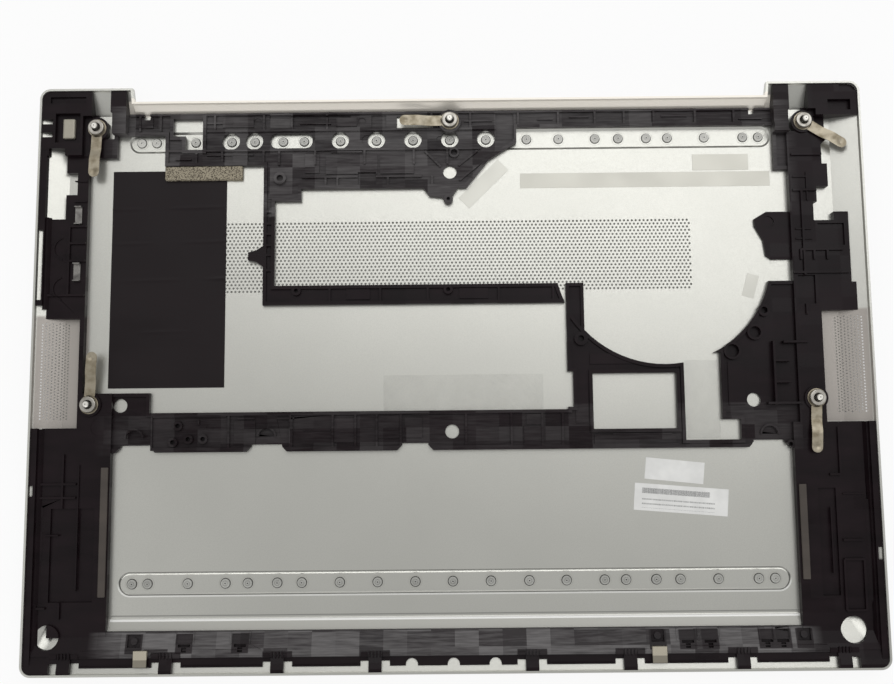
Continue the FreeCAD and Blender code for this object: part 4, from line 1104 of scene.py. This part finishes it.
@dataclass
class InnerMoulding:
    """The black moulding in the tray, with the fine relief of its faces."""

    edge: float = 0.16
    lip: float = 4.5
    column: float = 5.2
    top: float = 9.5
    hooks: tuple[float, ...] = HOOKS
    hook_half: float = 2.4
    latches: tuple[tuple[float, float], ...] = LATCHES
    square_pockets: tuple[tuple[float, float], ...] = SQUARE_POCKETS
    rim_seam: tuple[tuple[float, float], ...] = (
        (152.6, 4.9), (154.6, 5.75), (154.6, 6.6), (153.6, 6.6), (152.6, 5.2),
    )
    slope_seam: tuple[tuple[float, float], ...] = (
        (149.2, 3.5), (153.7, 5.35), (153.7, 5.75), (152.2, 5.15), (149.2, 5.15),
    )
    bay_tabs: tuple[tuple[float, float], ...] = ((-124.5, -113.3), (-75.5, -64.0), (-19.0, -9.2), (112.5, 124.0))
    half_rounds: tuple[Point, ...] = ((-119.0, -24.4, 5.2), (-69.8, -24.0, 3.6), (118.6, -24.8, 3.6))

    def build(self, nodes: dict[str, bpy.types.Object]) -> bpy.types.Object:
        """Add and cut the relief, round the edges and dress the moulding.

        Args:
            nodes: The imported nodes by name.

        Returns:
            The moulding.
        """
        builder = bmesh.new()
        builder.from_mesh(nodes["inner_frame"].data)
        bmesh.ops.remove_doubles(builder, verts=builder.verts, dist=0.0015 * MM)
        moulding = mesh_piece("black_inner_moulding", builder)
        combine(moulding, self._fillings(), Boolean.JOIN)
        combine(moulding, self._cuts(), Boolean.PIERCE)
        combine(moulding, self._ridges(), Boolean.JOIN)
        soften_edges(moulding, self.edge)
        dress(moulding, BLACK_MOULDING)
        return stand_in(moulding, "inner_frame")

    def _band_fill(self, builder: bmesh.types.BMesh, low: float, high: float) -> None:
        """Fill the front band between two places, up to its own sloping top."""
        section = [(-95.2, 4.0), (-95.2, 4.62), (-96.5, 5.16), (-102.98, 7.2), (-102.98, 5.4), (-99.0, 4.6)]
        prism(builder, section, "X", low, high)

    def _fillings(self) -> bpy.types.Object:
        """What closes the pockets that are cut again below, and the seams beside the walls."""
        builder = bmesh.new()
        for low, high in self.latches:
            self._band_fill(builder, low, high)
        for x, _ in self.square_pockets:
            self._band_fill(builder, x - 2.8, x + 2.8)
        for side in (-1.0, 1.0):
            seam = [(x * side, z) for x, z in self.rim_seam]
            prism(builder, seam, "Y", -106.0, -20.6)
            prism(builder, [(x * side, z) for x, z in self.slope_seam], "Y", -86.0, -49.2)
            if side < 0:
                prism(builder, seam, "Y", 24.6, 60.0)
        for y in (47.0, 33.0):
            prism(builder, arc((-150.0, y), 3.6, 0.0, 345.0, 23), "Z", 4.9, self.column - 0.06)
        prism(builder, arc((120.75, 55.65), 3.0, 0.0, 345.0, 23), "Z", 2.45, 3.2)
        prism(builder, [(-149.0, -96.5), *arc((-149.0, -96.5), 4.6, 0.0, 90.0, 6)], "Z", 4.0, 6.2)
        return mesh_piece("relief_fillings", builder)

    def _cuts(self) -> bpy.types.Object:
        """Pockets, wells, notches and the bare strip along the front rim."""
        builder = bmesh.new()
        for low, high in zip(self.hooks, self.hooks[1:]):
            self._front_ledge(builder, low + self.hook_half, high - self.hook_half)
        for low, high in self.latches:
            middle = (low + high) / 2
            prism(builder, [(-95.9, 4.72), (-99.0, 5.62), (-99.0, 9.0), (-95.9, 9.0)], "X", low + 0.5, high - 0.5)
            block(builder, (middle - 2.2, middle + 2.2), (-100.2, -99.2), (5.0, self.top))
            block(builder, (middle - 0.9, middle + 0.9), (-101.9, -100.3), (5.5, self.top))
        for x, y in self.square_pockets:
            prism(builder, [(y + 2.1, 4.4), (y - 2.1, 5.0), (y - 2.1, 9.0), (y + 2.1, 9.0)], "X", x - 2.4, x + 2.4)
            prism(builder, arc((x, y), 1.25, 0.0, 340.0, 17), "Z", 2.0, 9.0)
        for low, high in self.bay_tabs:
            corners = [(low - 2.6, -30.4), (low + 0.1, -27.6), (low + 0.1, -30.4)]
            prism(builder, corners, "Z", 2.0, self.top)
            corners = [(high + 2.6, -30.4), (high - 0.1, -27.6), (high - 0.1, -30.4)]
            prism(builder, corners, "Z", 2.0, self.top)
        for x, y, level in self.half_rounds:
            prism(builder, arc((x, y), 2.8, 0.0, 180.0, 12), "Z", level - 0.7, self.top)
        block(builder, (-20.5, -6.4), (94.5, 99.3), (2.0, 5.9))
        block(builder, (-132.2, -129.8), (91.3, 101.0), (2.2, self.top))
        prism(builder, [(-154.75, 5.7), (-157.2, 6.8), (-157.2, 9.8), (-154.75, 9.8)], "Y", 28.0, 55.0)
        block(builder, (-30.4, -24.6), (95.0, 99.9), (2.9, self.top))
        block(builder, (17.8, 24.8), (89.6, 99.9), (2.9, self.top))
        block(builder, (-70.0, -38.4), (98.9, 99.9), (3.1, self.top))
        block(builder, (-35.6, -28.6), (72.4, 77.2), (3.0, self.top))
        for x, y, radius in ((-74.5, 97.6, 1.6), (-34.0, 97.4, 1.6), (-32.0, 89.8, 2.2), (-3.6, 89.8, 1.6)):
            prism(builder, arc((x, y), radius, 0.0, 345.0, 23), "Z", 3.2, self.top)
        for x, y, radius, level in ((-131.8, -20.0, 3.6, 5.2), (-91.0, -20.5, 1.5, 3.6), (100.0, -24.0, 2.0, 3.6)):
            prism(builder, arc((x, y), radius, 0.0, 345.0, 23), "Z", level - 0.12, self.top)
        return mesh_piece("relief_cuts", builder)

    def _front_ledge(self, builder: bmesh.types.BMesh, low: float, high: float) -> None:
        """Cut the step and the bare strip of the front band between two hooks."""
        section = [(-103.7, 9.6), (-103.7, 6.35), (-107.2, 6.8), (-107.2, 3.0), (-112.0, 3.0), (-112.0, 9.6)]
        prism(builder, section, "X", low, high)

    def _ridges(self) -> bpy.types.Object:
        """Thin ribs and rims that stand on the plate and the columns."""
        builder = bmesh.new()
        low = 3.0
        for x, y, level in self.half_rounds:
            ring = arc((x, y), 3.7, 0.0, 180.0, 12) + list(reversed(arc((x, y), 3.0, 0.0, 180.0, 12)))
            prism(builder, ring, "Z", level - 0.5, level + 0.7)
        for x_low, x_high, y_low, y_high in (
            (-112.8, -84.9, -16.6, -16.0), (-113.2, -112.6, -29.0, -16.0), (-95.6, -95.0, -19.4, -17.6),
            (-80.6, -74.2, -17.6, -17.0), (-66.0, -59.4, -17.6, -17.0), (60.0, 82.0, -24.6, -24.1),
            (88.6, 100.0, -28.6, -28.1), (-60.6, -60.0, -28.6, -16.6), (-56.0, -46.0, -22.0, -21.5),
            (-15.0, -9.0, -16.4, -15.9),
            (-94.0, -84.0, 96.9, 97.4), (-58.0, -46.0, 96.4, 96.9), (5.6, 16.6, 96.8, 97.3),
            (34.0, 40.0, 97.2, 97.7), (46.4, 54.0, 98.0, 98.5), (82.0, 92.0, 98.0, 98.5), (112.0, 121.0, 96.6, 97.1),
            (-106.0, -100.0, 82.6, 83.1), (-94.0, -76.0, 84.2, 84.7), (-46.0, -34.0, 85.0, 85.5),
        ):
            block(builder, (x_low, x_high), (y_low, y_high), (low, self.lip - 0.15))
        for y in (47.9, 32.6):
            curve = arc((-147.0, y), 4.5, 105.0, 255.0, 16) + list(reversed(arc((-147.0, y), 4.1, 105.0, 255.0, 16)))
            prism(builder, curve, "Z", self.column - 0.4, self.column + 0.35)
        for start, end in (((3.2, 79.4), (10.6, 85.2)), ((3.6, 73.6), (14.6, 82.6)), ((-3.6, 79.0), (-9.6, 85.2))):
            self._slanted_rib(builder, start, end, low)
        for x_low, x_high, y_low, y_high in (
            (131.4, 137.6, 48.8, 49.3), (131.4, 137.6, 52.6, 53.1),
            (136.2, 136.7, 64.0, 75.0), (131.2, 136.2, 73.0, 73.5),
            (-144.0, -139.4, 74.0, 74.5), (-144.0, -139.4, 66.0, 66.5), (144.0, 152.0, -47.4, -46.9),
            (139.0, 139.5, -76.0, -52.0), (-139.4, -138.9, -80.0, -34.0), (-151.0, -146.0, -60.0, -59.5),
        ):
            block(builder, (x_low, x_high), (y_low, y_high), (self.column - 0.3, self.column + 0.55))
        for x in self.hooks:
            for off in (-1.9, -0.6, 0.6, 1.9):
                block(builder, (x + off - 0.28, x + off + 0.28), (-103.9, -101.9), (6.6, 7.75))
            for side in (-1.0, 1.0):
                edges = sorted((x + side * 2.6, x + side * 5.2))
                block(builder, (edges[0], edges[1]), (-103.9, -102.2), (6.4, 7.35))
        for low, high in zip(self.hooks, self.hooks[1:]):
            if low < 0.0 < high:
                continue
            block(builder, (low + 6.0, high - 6.0), (-101.2, -100.95), (6.2, 6.72))
            prism(builder, [(-106.9, 6.4), (-106.9, 7.15), (-106.5, 7.15), (-106.4, 6.4)], "X", low + 6.0, high - 6.0)
        for low_x, high_x in self.latches:
            for x in (low_x, high_x):
                prism(builder, [(-95.0, 4.4), (-95.0, 5.0), (-99.2, 6.35), (-99.2, 5.2)], "X", x - 0.22, x + 0.22)
        return mesh_piece("relief_ridges", builder)

    @staticmethod
    def _slanted_rib(
        builder: bmesh.types.BMesh, start: tuple[float, float], end: tuple[float, float], low: float
    ) -> None:
        """Add a thin rib between two places in the plan."""
        run = Vector(end) - Vector(start)
        side = Vector((-run.y, run.x)).normalized() * 0.35
        corners = [Vector(start) - side, Vector(end) - side, Vector(end) + side, Vector(start) + side]
        prism(builder, [tuple(c) for c in corners], "Z", low, 4.4)


@dataclass
class StakedFoot:
    """One long rubber foot and the strip whose pins are staked over inside the tray."""

    name: str
    y: float
    places: tuple[float, ...]
    finish: Finish
    head_floor: float = 1.8
    head_radius: float = 1.7
    head_height: float = 0.8

    def build(self, nodes: dict[str, bpy.types.Object]) -> bpy.types.Object:
        """Dress the rubber, and build the strip with its staked heads.

        Args:
            nodes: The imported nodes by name.

        Returns:
            The strip with its heads.
        """
        rubber = nodes[self.name]
        soften_edges(rubber, 0.4, 2)
        dress(rubber, FOOT_RUBBER)
        builder = bmesh.new()
        low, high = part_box(self.name + "_stakes")
        strip_high = self.head_floor - 0.8
        block(builder, (low.x / MM, high.x / MM), (self.y - 3.0, self.y + 3.0), (low.z / MM, strip_high))
        for place in self.places:
            revolve(builder, self._head(), (place, self.y, self.head_floor))
        piece = mesh_piece(self.name + "_staked_heads", builder)
        smooth_faces(piece)
        dress(piece, self.finish)
        self._paint_groove_shade()
        return stand_in(piece, self.name + "_stakes")

    def _paint_groove_shade(self) -> bpy.types.Object:
        """Add the seam round each head and the dimple in its middle as dark rings and discs of painted shade."""
        builder = bmesh.new()
        radius, top = self.head_radius, self.head_height
        seam = ((radius, -0.02), (radius, 0.06), (radius + 0.24, 0.05), (radius + 0.24, -0.02))
        dimple = ((0.0, top - 0.08), (0.24, top - 0.085), (0.24, top - 0.2), (0.0, top - 0.2))
        for place in self.places:
            revolve(builder, seam, (place, self.y, self.head_floor), 24, closed=True)
            revolve(builder, dimple, (place, self.y, self.head_floor), 12)
        groove_shade = mesh_piece(self.name + "_head_groove_shade", builder)
        dress(groove_shade, GROOVE_SHADE)
        return stand_in(groove_shade)

    def _head(self) -> list[tuple[float, float]]:
        """The turned form of a head: a small nub in a ring groove, over its pin."""
        top, radius = self.head_height, self.head_radius
        return [
            (0.0, top - 0.12),
            (0.22, top - 0.10),
            (0.40, top),
            (0.62, top - 0.02),
            (0.80, top - 0.28),
            (0.98, top - 0.30),
            (1.15, top - 0.04),
            (radius - 0.25, top - 0.06),
            (radius - 0.05, top - 0.22),
            (radius, 0.02),
            (0.9, 0.0),
            (0.9, -0.8),
            (0.0, -0.8),
        ]


@dataclass
class FormedSpring:
    """One earthing spring: a collar round its sleeve and a cranked tail with a rounded, dimpled tip."""

    place: str
    centre: tuple[float, float]
    angle: float
    reach: float
    low: float = 6.0
    rise: float = 1.2
    thickness: float = 0.28
    half_width: float = 2.0
    collar: tuple[tuple[float, float], ...] = ((3.1, 0.28), (3.5, 0.28), (3.5, 0.0), (3.1, 0.0))
    stations: int = 46
    lanes: int = 10

    def build(self) -> bpy.types.Object:
        """Build the spring as a closed sheet.

        Returns:
            The spring.
        """
        builder = bmesh.new()
        top, bottom = self._grid(builder, self.thickness), self._grid(builder, 0.0)
        for i in range(self.stations):
            for j in range(self.lanes):
                builder.faces.new((top[i][j], top[i + 1][j], top[i + 1][j + 1], top[i][j + 1]))
                builder.faces.new((bottom[i][j + 1], bottom[i + 1][j + 1], bottom[i + 1][j], bottom[i][j]))
        close_rim(builder, top, bottom)
        revolve(builder, self.collar, (*self.centre, self.low), 32, closed=True)
        bmesh.ops.recalc_face_normals(builder, faces=builder.faces)
        spring = mesh_piece("formed_spring_" + self.place, builder)
        smooth_faces(spring)
        dress(spring, SPRING_NICKEL)
        return stand_in(spring, "ground_spring_" + self.place)

    def _grid(self, builder: bmesh.types.BMesh, lift: float) -> list[list]:
        """One face of the tail as a grid of corners."""
        turn = math.radians(self.angle)
        start, end = 3.15, self.reach
        grid = []
        for i in range(self.stations + 1):
            share = i / self.stations
            u = start + (end - start) * (1 - (1 - share) ** 1.5)
            half = self.half_width
            if u > end - half:
                half = math.sqrt(max(0.01, half**2 - (u - end + half) ** 2))
            line = []
            for j in range(self.lanes + 1):
                v = half * (2 * j / self.lanes - 1)
                z = self.low + lift + self._lift(u, v)
                x = self.centre[0] + u * math.cos(turn) - v * math.sin(turn)
                y = self.centre[1] + u * math.sin(turn) + v * math.cos(turn)
                line.append(builder.verts.new(Vector((x, y, z)) * MM))
            grid.append(line)
        return grid

    def _lift(self, u: float, v: float) -> float:
        """How high the tail stands at a place along and across it."""
        share = min(1.0, max(0.0, (u - 7.6) / (0.45 * (self.reach - 7.6))))
        rise = self.rise * share * share * (3 - 2 * share)
        reach = math.hypot(u - (self.reach - 2.3), v)
        return rise - 0.22 * math.exp(-((reach / 0.85) ** 2))


def smooth_faces(piece: bpy.types.Object, angle: float = 32.0) -> None:
    """Shade a piece smooth, apart from its sharp edges."""
    for face in piece.data.polygons:
        face.use_smooth = True
    piece.data.set_sharp_from_angle(angle=math.radians(angle))


@dataclass
class CaptiveFasteners:
    """The turned sleeves, their screws and the earthing springs under them."""

    springs: tuple[FormedSpring, ...] = (
        FormedSpring("rear_left", (-136.0, 95.0), -91.5, 19.5),
        FormedSpring("rear_middle", (0.0, 96.6), 180.0, 19.3),
        FormedSpring("rear_right", (136.0, 95.0), -33.0, 18.5),
        FormedSpring("front_left", (-136.0, -11.6), 87.0, 19.8),
        FormedSpring("front_right", (136.0, -11.6), -93.5, 20.4),
    )

    def build(self, nodes: dict[str, bpy.types.Object]) -> None:
        """Build the springs, and round and dress the turned pieces.

        Args:
            nodes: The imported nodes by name.
        """
        for spring in self.springs:
            sleeve = nodes["screw_sleeve_" + spring.place]
            soften_edges(sleeve, 0.3, 2)
            dress(sleeve, SLEEVE_STEEL)
            screw = nodes["captive_screw_" + spring.place]
            soften_edges(screw, 0.25, 2)
            dress(screw, SCREW_STEEL)
            spring.build()


@dataclass
class CreasedFilm:
    """The thin black film, with the folds it was packed in."""

    creases: tuple[tuple[float, float], ...] = ((64.0, 0.24), (50.5, 0.12), (36.0, 0.22), (16.0, 0.08))
    columns: int = 40
    rows: int = 200
    thickness: float = 0.12

    def build(self) -> bpy.types.Object:
        """Build the film as a thin closed sheet.

        Returns:
            The film.
        """
        low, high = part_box("black_film")
        base = low.z / MM
        builder = bmesh.new()
        top = self._layer(builder, low, high, lambda x, y: base + self.thickness + self._height(x, y))
        bottom = self._layer(builder, low, high, lambda x, y: base + 0.01)
        for i in range(self.columns):
            for j in range(self.rows):
                builder.faces.new((top[i][j], top[i + 1][j], top[i + 1][j + 1], top[i][j + 1]))
        close_rim(builder, top, bottom)
        for i in range(self.columns):
            for j in range(self.rows):
                builder.faces.new((bottom[i][j + 1], bottom[i + 1][j + 1], bottom[i + 1][j], bottom[i][j]))
        film = mesh_piece("creased_film", builder)
        smooth_faces(film)
        dress(film, BLACK_FILM)
        return stand_in(film, "black_film")

    def _layer(
        self, builder: bmesh.types.BMesh, low: Vector, high: Vector, height: Callable[[float, float], float]
    ) -> list[list]:
        """One face of the sheet as a grid of corners."""
        grid = []
        for i in range(self.columns + 1):
            x = low.x + (high.x - low.x) * i / self.columns
            line = []
            for j in range(self.rows + 1):
                y = low.y + (high.y - low.y) * j / self.rows
                line.append(builder.verts.new((x, y, height(x / MM, y / MM) * MM)))
            grid.append(line)
        return grid

    def _height(self, x: float, y: float) -> float:
        """How far the film stands off its seat at a place."""
        rise = 0.03 * (1 + math.sin(x * 0.21 + y * 0.13)) + 0.02 * (1 + math.sin(x * 0.07 - y * 0.33))
        for place, depth in self.creases:
            off = abs(y - place - 0.02 * (x + 108))
            share = 0.5 + 0.5 * math.sin(x * 0.19 + place)
            rise += depth * share * math.exp(-((off / 0.45) ** 2))
        return rise


def close_rim(builder: bmesh.types.BMesh, top: list[list], bottom: list[list]) -> None:
    """Join the rims of two grids of corners of the same size.

    Args:
        builder: The mesh under construction.
        top: The upper grid.
        bottom: The lower grid.
    """
    columns, rows = len(top) - 1, len(top[0]) - 1
    for i in range(columns):
        builder.faces.new((top[i + 1][0], top[i][0], bottom[i][0], bottom[i + 1][0]))
        builder.faces.new((top[i][rows], top[i + 1][rows], bottom[i + 1][rows], bottom[i][rows]))
    for j in range(rows):
        builder.faces.new((top[0][j], top[0][j + 1], bottom[0][j + 1], bottom[0][j]))
        builder.faces.new((top[columns][j + 1], top[columns][j], bottom[columns][j], bottom[columns][j + 1]))


@dataclass
class SoftPad:
    """A soft block with full edges and a slightly uneven face, in place of a plain solid."""

    node: str
    finish: Finish
    slot: Slot
    edge: float = 0.35
    unevenness: float = 0.08
    cell: float = 0.45
    fill: float = 0.8
    seed: int = 3

    def build(self) -> bpy.types.Object:
        """Build the pad over its node's box.

        Returns:
            The pad.
        """
        low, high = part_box(self.node)
        chance = random.Random(self.seed)
        builder = bmesh.new()
        counts = [max(2, round((high[a] - low[a]) / MM / self.cell)) for a in range(3)]
        bmesh.ops.create_cube(builder, size=1.0)
        bmesh.ops.scale(builder, vec=high - low, verts=builder.verts)
        bmesh.ops.translate(builder, vec=(low + high) / 2, verts=builder.verts)
        for axis in range(3):
            normal = [0.0, 0.0, 0.0]
            normal[axis] = 1.0
            for step in range(1, counts[axis]):
                place = low.copy()
                place[axis] = low[axis] + (high[axis] - low[axis]) * step / counts[axis]
                bmesh.ops.bisect_plane(
                    builder,
                    geom=builder.verts[:] + builder.edges[:] + builder.faces[:],
                    plane_co=place,
                    plane_no=normal,
                )
        for vertex in builder.verts:
            vertex.co = self._rounded(vertex.co, low, high, chance)
        pad = mesh_piece(self.node + "_pad", builder)
        smooth_faces(pad, 60.0)
        dress(pad, self.finish)
        stand_in(pad, self.node)
        return pad

    def _rounded(self, place: Vector, low: Vector, high: Vector, chance: random.Random) -> Vector:
        """A surface point drawn in at the edges, with a small random sink."""
        edge = self.edge * MM
        inner_low = low + Vector((edge, edge, 0.0))
        inner_high = high - Vector((edge, edge, edge))
        held = Vector(max(a, min(b, c)) for a, b, c in zip(inner_low, inner_high, place))
        offset = place - held
        if offset.length > edge:
            offset = offset.normalized() * edge
        sunk = chance.random() * self.unevenness * MM
        moved = held + offset * max(0.0, 1 - sunk / edge)
        if place.z > low.z + 1e-6:
            moved.z = max(low.z, moved.z - sunk * 0.5)
        return moved


@dataclass
class FoldedContact:
    """A cloth-covered foam contact that is folded over the front band."""

    node: str
    edge: float = 0.35

    def build(self, nodes: dict[str, bpy.types.Object]) -> bpy.types.Object:
        """Build the contact from its solid, with full rounded edges.

        Args:
            nodes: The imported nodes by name.

        Returns:
            The contact.
        """
        builder = bmesh.new()
        builder.from_mesh(nodes[self.node].data)
        bmesh.ops.remove_doubles(builder, verts=builder.verts, dist=0.002 * MM)
        bmesh.ops.dissolve_limit(
            builder, angle_limit=math.radians(2.0), verts=builder.verts, edges=builder.edges
        )
        bmesh.ops.bevel(
            builder,
            geom=[edge for edge in builder.edges if edge.calc_face_angle(0.0) > math.radians(25.0)],
            offset=self.edge * MM,
            segments=4,
            affect="EDGES",
            profile=0.5,
            clamp_overlap=True,
        )
        contact = mesh_piece(self.node + "_fold", builder)
        smooth_faces(contact, 50.0)
        dress(contact, FRONT_CLOTH)
        stand_in(contact, self.node)
        return contact


@dataclass
class StuckPieces:
    """Tapes, films, labels, rails and clips, which keep their solids' forms."""

    finishes: dict[str, tuple[Finish, Slot]] = field(
        default_factory=lambda: {
            "tape_long": (GREY_TAPE, Slot.TAPE),
            "tape_short": (GREY_TAPE, Slot.TAPE),
            "tape_diagonal": (PALE_TAPE, Slot.TAPE),
            "tape_small": (PALE_TAPE, Slot.TAPE),
            "clear_film_memory": (CLEAR_SHEET, Slot.CLEAR),
            "clear_film_side": (CLEAR_SHEET, Slot.CLEAR),
            "label_large": (LABEL_BARRED, Slot.LABEL),
            "label_small": (LABEL_PLAIN, Slot.LABEL),
            "battery_rail_left": (RAIL_GREY, Slot.RAIL),
            "battery_rail_right": (RAIL_GREY, Slot.RAIL),
            "side_clip_upper": (CLIP_STEEL, Slot.SPRING),
            "side_clip_lower": (CLIP_STEEL, Slot.SPRING),
        }
    )

    def build(self, nodes: dict[str, bpy.types.Object]) -> None:
        """Round their edges a little and dress them.

        Args:
            nodes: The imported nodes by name.
        """
        for name, (finish, slot) in self.finishes.items():
            soften_edges(nodes[name], 0.03 if slot is not Slot.RAIL else 0.2)
            dress(nodes[name], finish)
            log.info("%s dressed", name)


@dataclass
class Studio:
    """The pale floor, the soft lamps and the camera of the photograph."""

    camera_place: Point = (-0.876, -31.753, 379.833)
    camera_turn: Point = (-6.4755, -0.1458, 0.5751)
    focal_pixels: float = 1000.0
    sensor: float = 36.0
    floor_half: float = 3.0
    floor_color: Color = (0.94, 0.94, 0.94)
    floor_white: float = 0.86
    shaded_half: tuple[float, float] = (157.4, 100.0)
    world_level: float = 0.52
    shade: float = 0.75

    def build(self) -> None:
        """Set up everything round the object."""
        self._floor()
        self._lamp("rear_softbox", (0.14, 0.58, 1.05), (0.03, 0.16, 0.0), (1.3, 0.84), 5.15)
        self._lamp("front_fill", (0.0, -0.95, 0.30), (0.0, 0.05, 0.0), (1.2, 0.3), 2.6)
        self._lamp("left_fill", (-0.9, -0.3, 0.9), (0.0, 0.0, 0.0), (0.5, 0.9), 0.8)
        self._world()
        self._camera()
        bpy.context.scene.view_settings.view_transform = "Standard"

    def _floor(self) -> None:
        """A plain pale floor under the feet."""
        builder = bmesh.new()
        half = self.floor_half
        corners = ((-half, -half, 0.0), (half, -half, 0.0), (half, half, 0.0), (-half, half, 0.0))
        builder.faces.new([builder.verts.new(corner) for corner in corners])
        floor = mesh_piece("pale_floor", builder)
        graph = ShaderGraph("pale_floor")
        matt = graph.add(
            "ShaderNodeBsdfPrincipled",
            inputs={"Base Color": (*self.floor_color, 1.0), "Roughness": 0.9, "Specular IOR Level": 0.0},
        )
        white = graph.add("ShaderNodeEmission", inputs={"Color": (1.0, 1.0, 1.0, 1.0), "Strength": 1.0})
        paths = ("Is Camera Ray", "Is Glossy Ray", "Is Transmission Ray")
        camera, glossy, through = (graph.add("ShaderNodeLightPath", output=path) for path in paths)
        shade_x, shade_y = self.shaded_half
        covered = graph.within("X", -shade_x, shade_x, 2.0) * graph.within("Y", -shade_y, shade_y, 2.0)
        shown = (camera * (1.0 - covered) + (glossy + through) * (1.0 - covered * self.shade)) * self.floor_white
        shader = graph.add("ShaderNodeMixShader", inputs={0: shown, 1: matt, 2: white})
        clear = graph.add("ShaderNodeBsdfTransparent")
        below = graph.add("ShaderNodeNewGeometry", output="Backfacing")
        shader = graph.add("ShaderNodeMixShader", inputs={0: below, 1: shader, 2: clear})
        floor.data.materials.append(graph.end(shader))

    @staticmethod
    def _lamp(name: str, place: Point, aim: Point, size: tuple[float, float], power: float) -> None:
        """One soft rectangular lamp that faces a point.

        Args:
            name: The lamp's name.
            place: Where it hangs, in metres.
            aim: The point it faces.
            size: Its two sides in metres.
            power: Its power in watts.
        """
        data = bpy.data.lights.new(name, "AREA")
        data.shape = "RECTANGLE"
        data.size, data.size_y = size
        data.energy = power
        lamp = bpy.data.objects.new(name, data)
        lamp.location = place
        lamp.rotation_euler = (Vector(aim) - Vector(place)).to_track_quat("-Z", "Y").to_euler()
        bpy.context.scene.collection.objects.link(lamp)

    def _world(self) -> None:
        """An even pale surrounding."""
        world = bpy.data.worlds.new("pale_surrounding")
        bpy.context.scene.world = world
        world.use_nodes = True
        sky = world.node_tree.nodes["Background"]
        sky.inputs["Color"].default_value = (1.0, 1.0, 1.0, 1.0)
        sky.inputs["Strength"].default_value = self.world_level

    def _camera(self) -> None:
        """The camera above the tray, a little to the front, as the photograph was taken."""
        data = bpy.data.cameras.new("overhead_camera")
        data.sensor_fit = "HORIZONTAL"
        data.sensor_width = self.sensor
        data.lens = self.focal_pixels * self.sensor / IMAGE_WIDTH
        data.clip_start, data.clip_end = 0.01, 20.0
        camera = bpy.data.objects.new("overhead_camera", data)
        turn_x, turn_y, turn_z = (math.radians(a) for a in self.camera_turn)
        to_camera = (
            Matrix.Rotation(turn_z, 3, "Z") @ Matrix.Rotation(turn_y, 3, "Y") @ Matrix.Rotation(turn_x, 3, "X")
        )
        camera.matrix_world = Matrix.Translation(Vector(self.camera_place) * MM) @ to_camera.transposed().to_4x4()
        bpy.context.scene.collection.objects.link(camera)
        bpy.context.scene.camera = camera


def main() -> None:
    """Build the studio, then every piece of the case in order."""
    logging.basicConfig(level=logging.INFO, format="%(name)s %(message)s")
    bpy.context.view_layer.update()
    nodes = frame["nodes"]
    Studio().build()
    PerforatedTray().build(nodes)
    InnerMoulding().build(nodes)
    StakedFoot("rear_foot", REAR_FOOT_Y, REAR_STAKES, STAKE_GREY).build(nodes)
    StakedFoot("front_foot", FRONT_FOOT_Y, FRONT_STAKES, STAKE_DARKER).build(nodes)
    CaptiveFasteners().build(nodes)
    CreasedFilm().build()
    SoftPad("foam_strip", BROWN_FOAM, Slot.FOAM, edge=0.3, unevenness=0.14).build()
    SoftPad("side_gasket", SIDE_CLOTH, Slot.GASKET, edge=0.5, unevenness=0.02, seed=5).build()
    for name in ("front_gasket_left", "front_gasket_right"):
        FoldedContact(name).build(nodes)
    StuckPieces().build(nodes)
    bpy.context.view_layer.update()


if __name__ == "__main__":
    main()
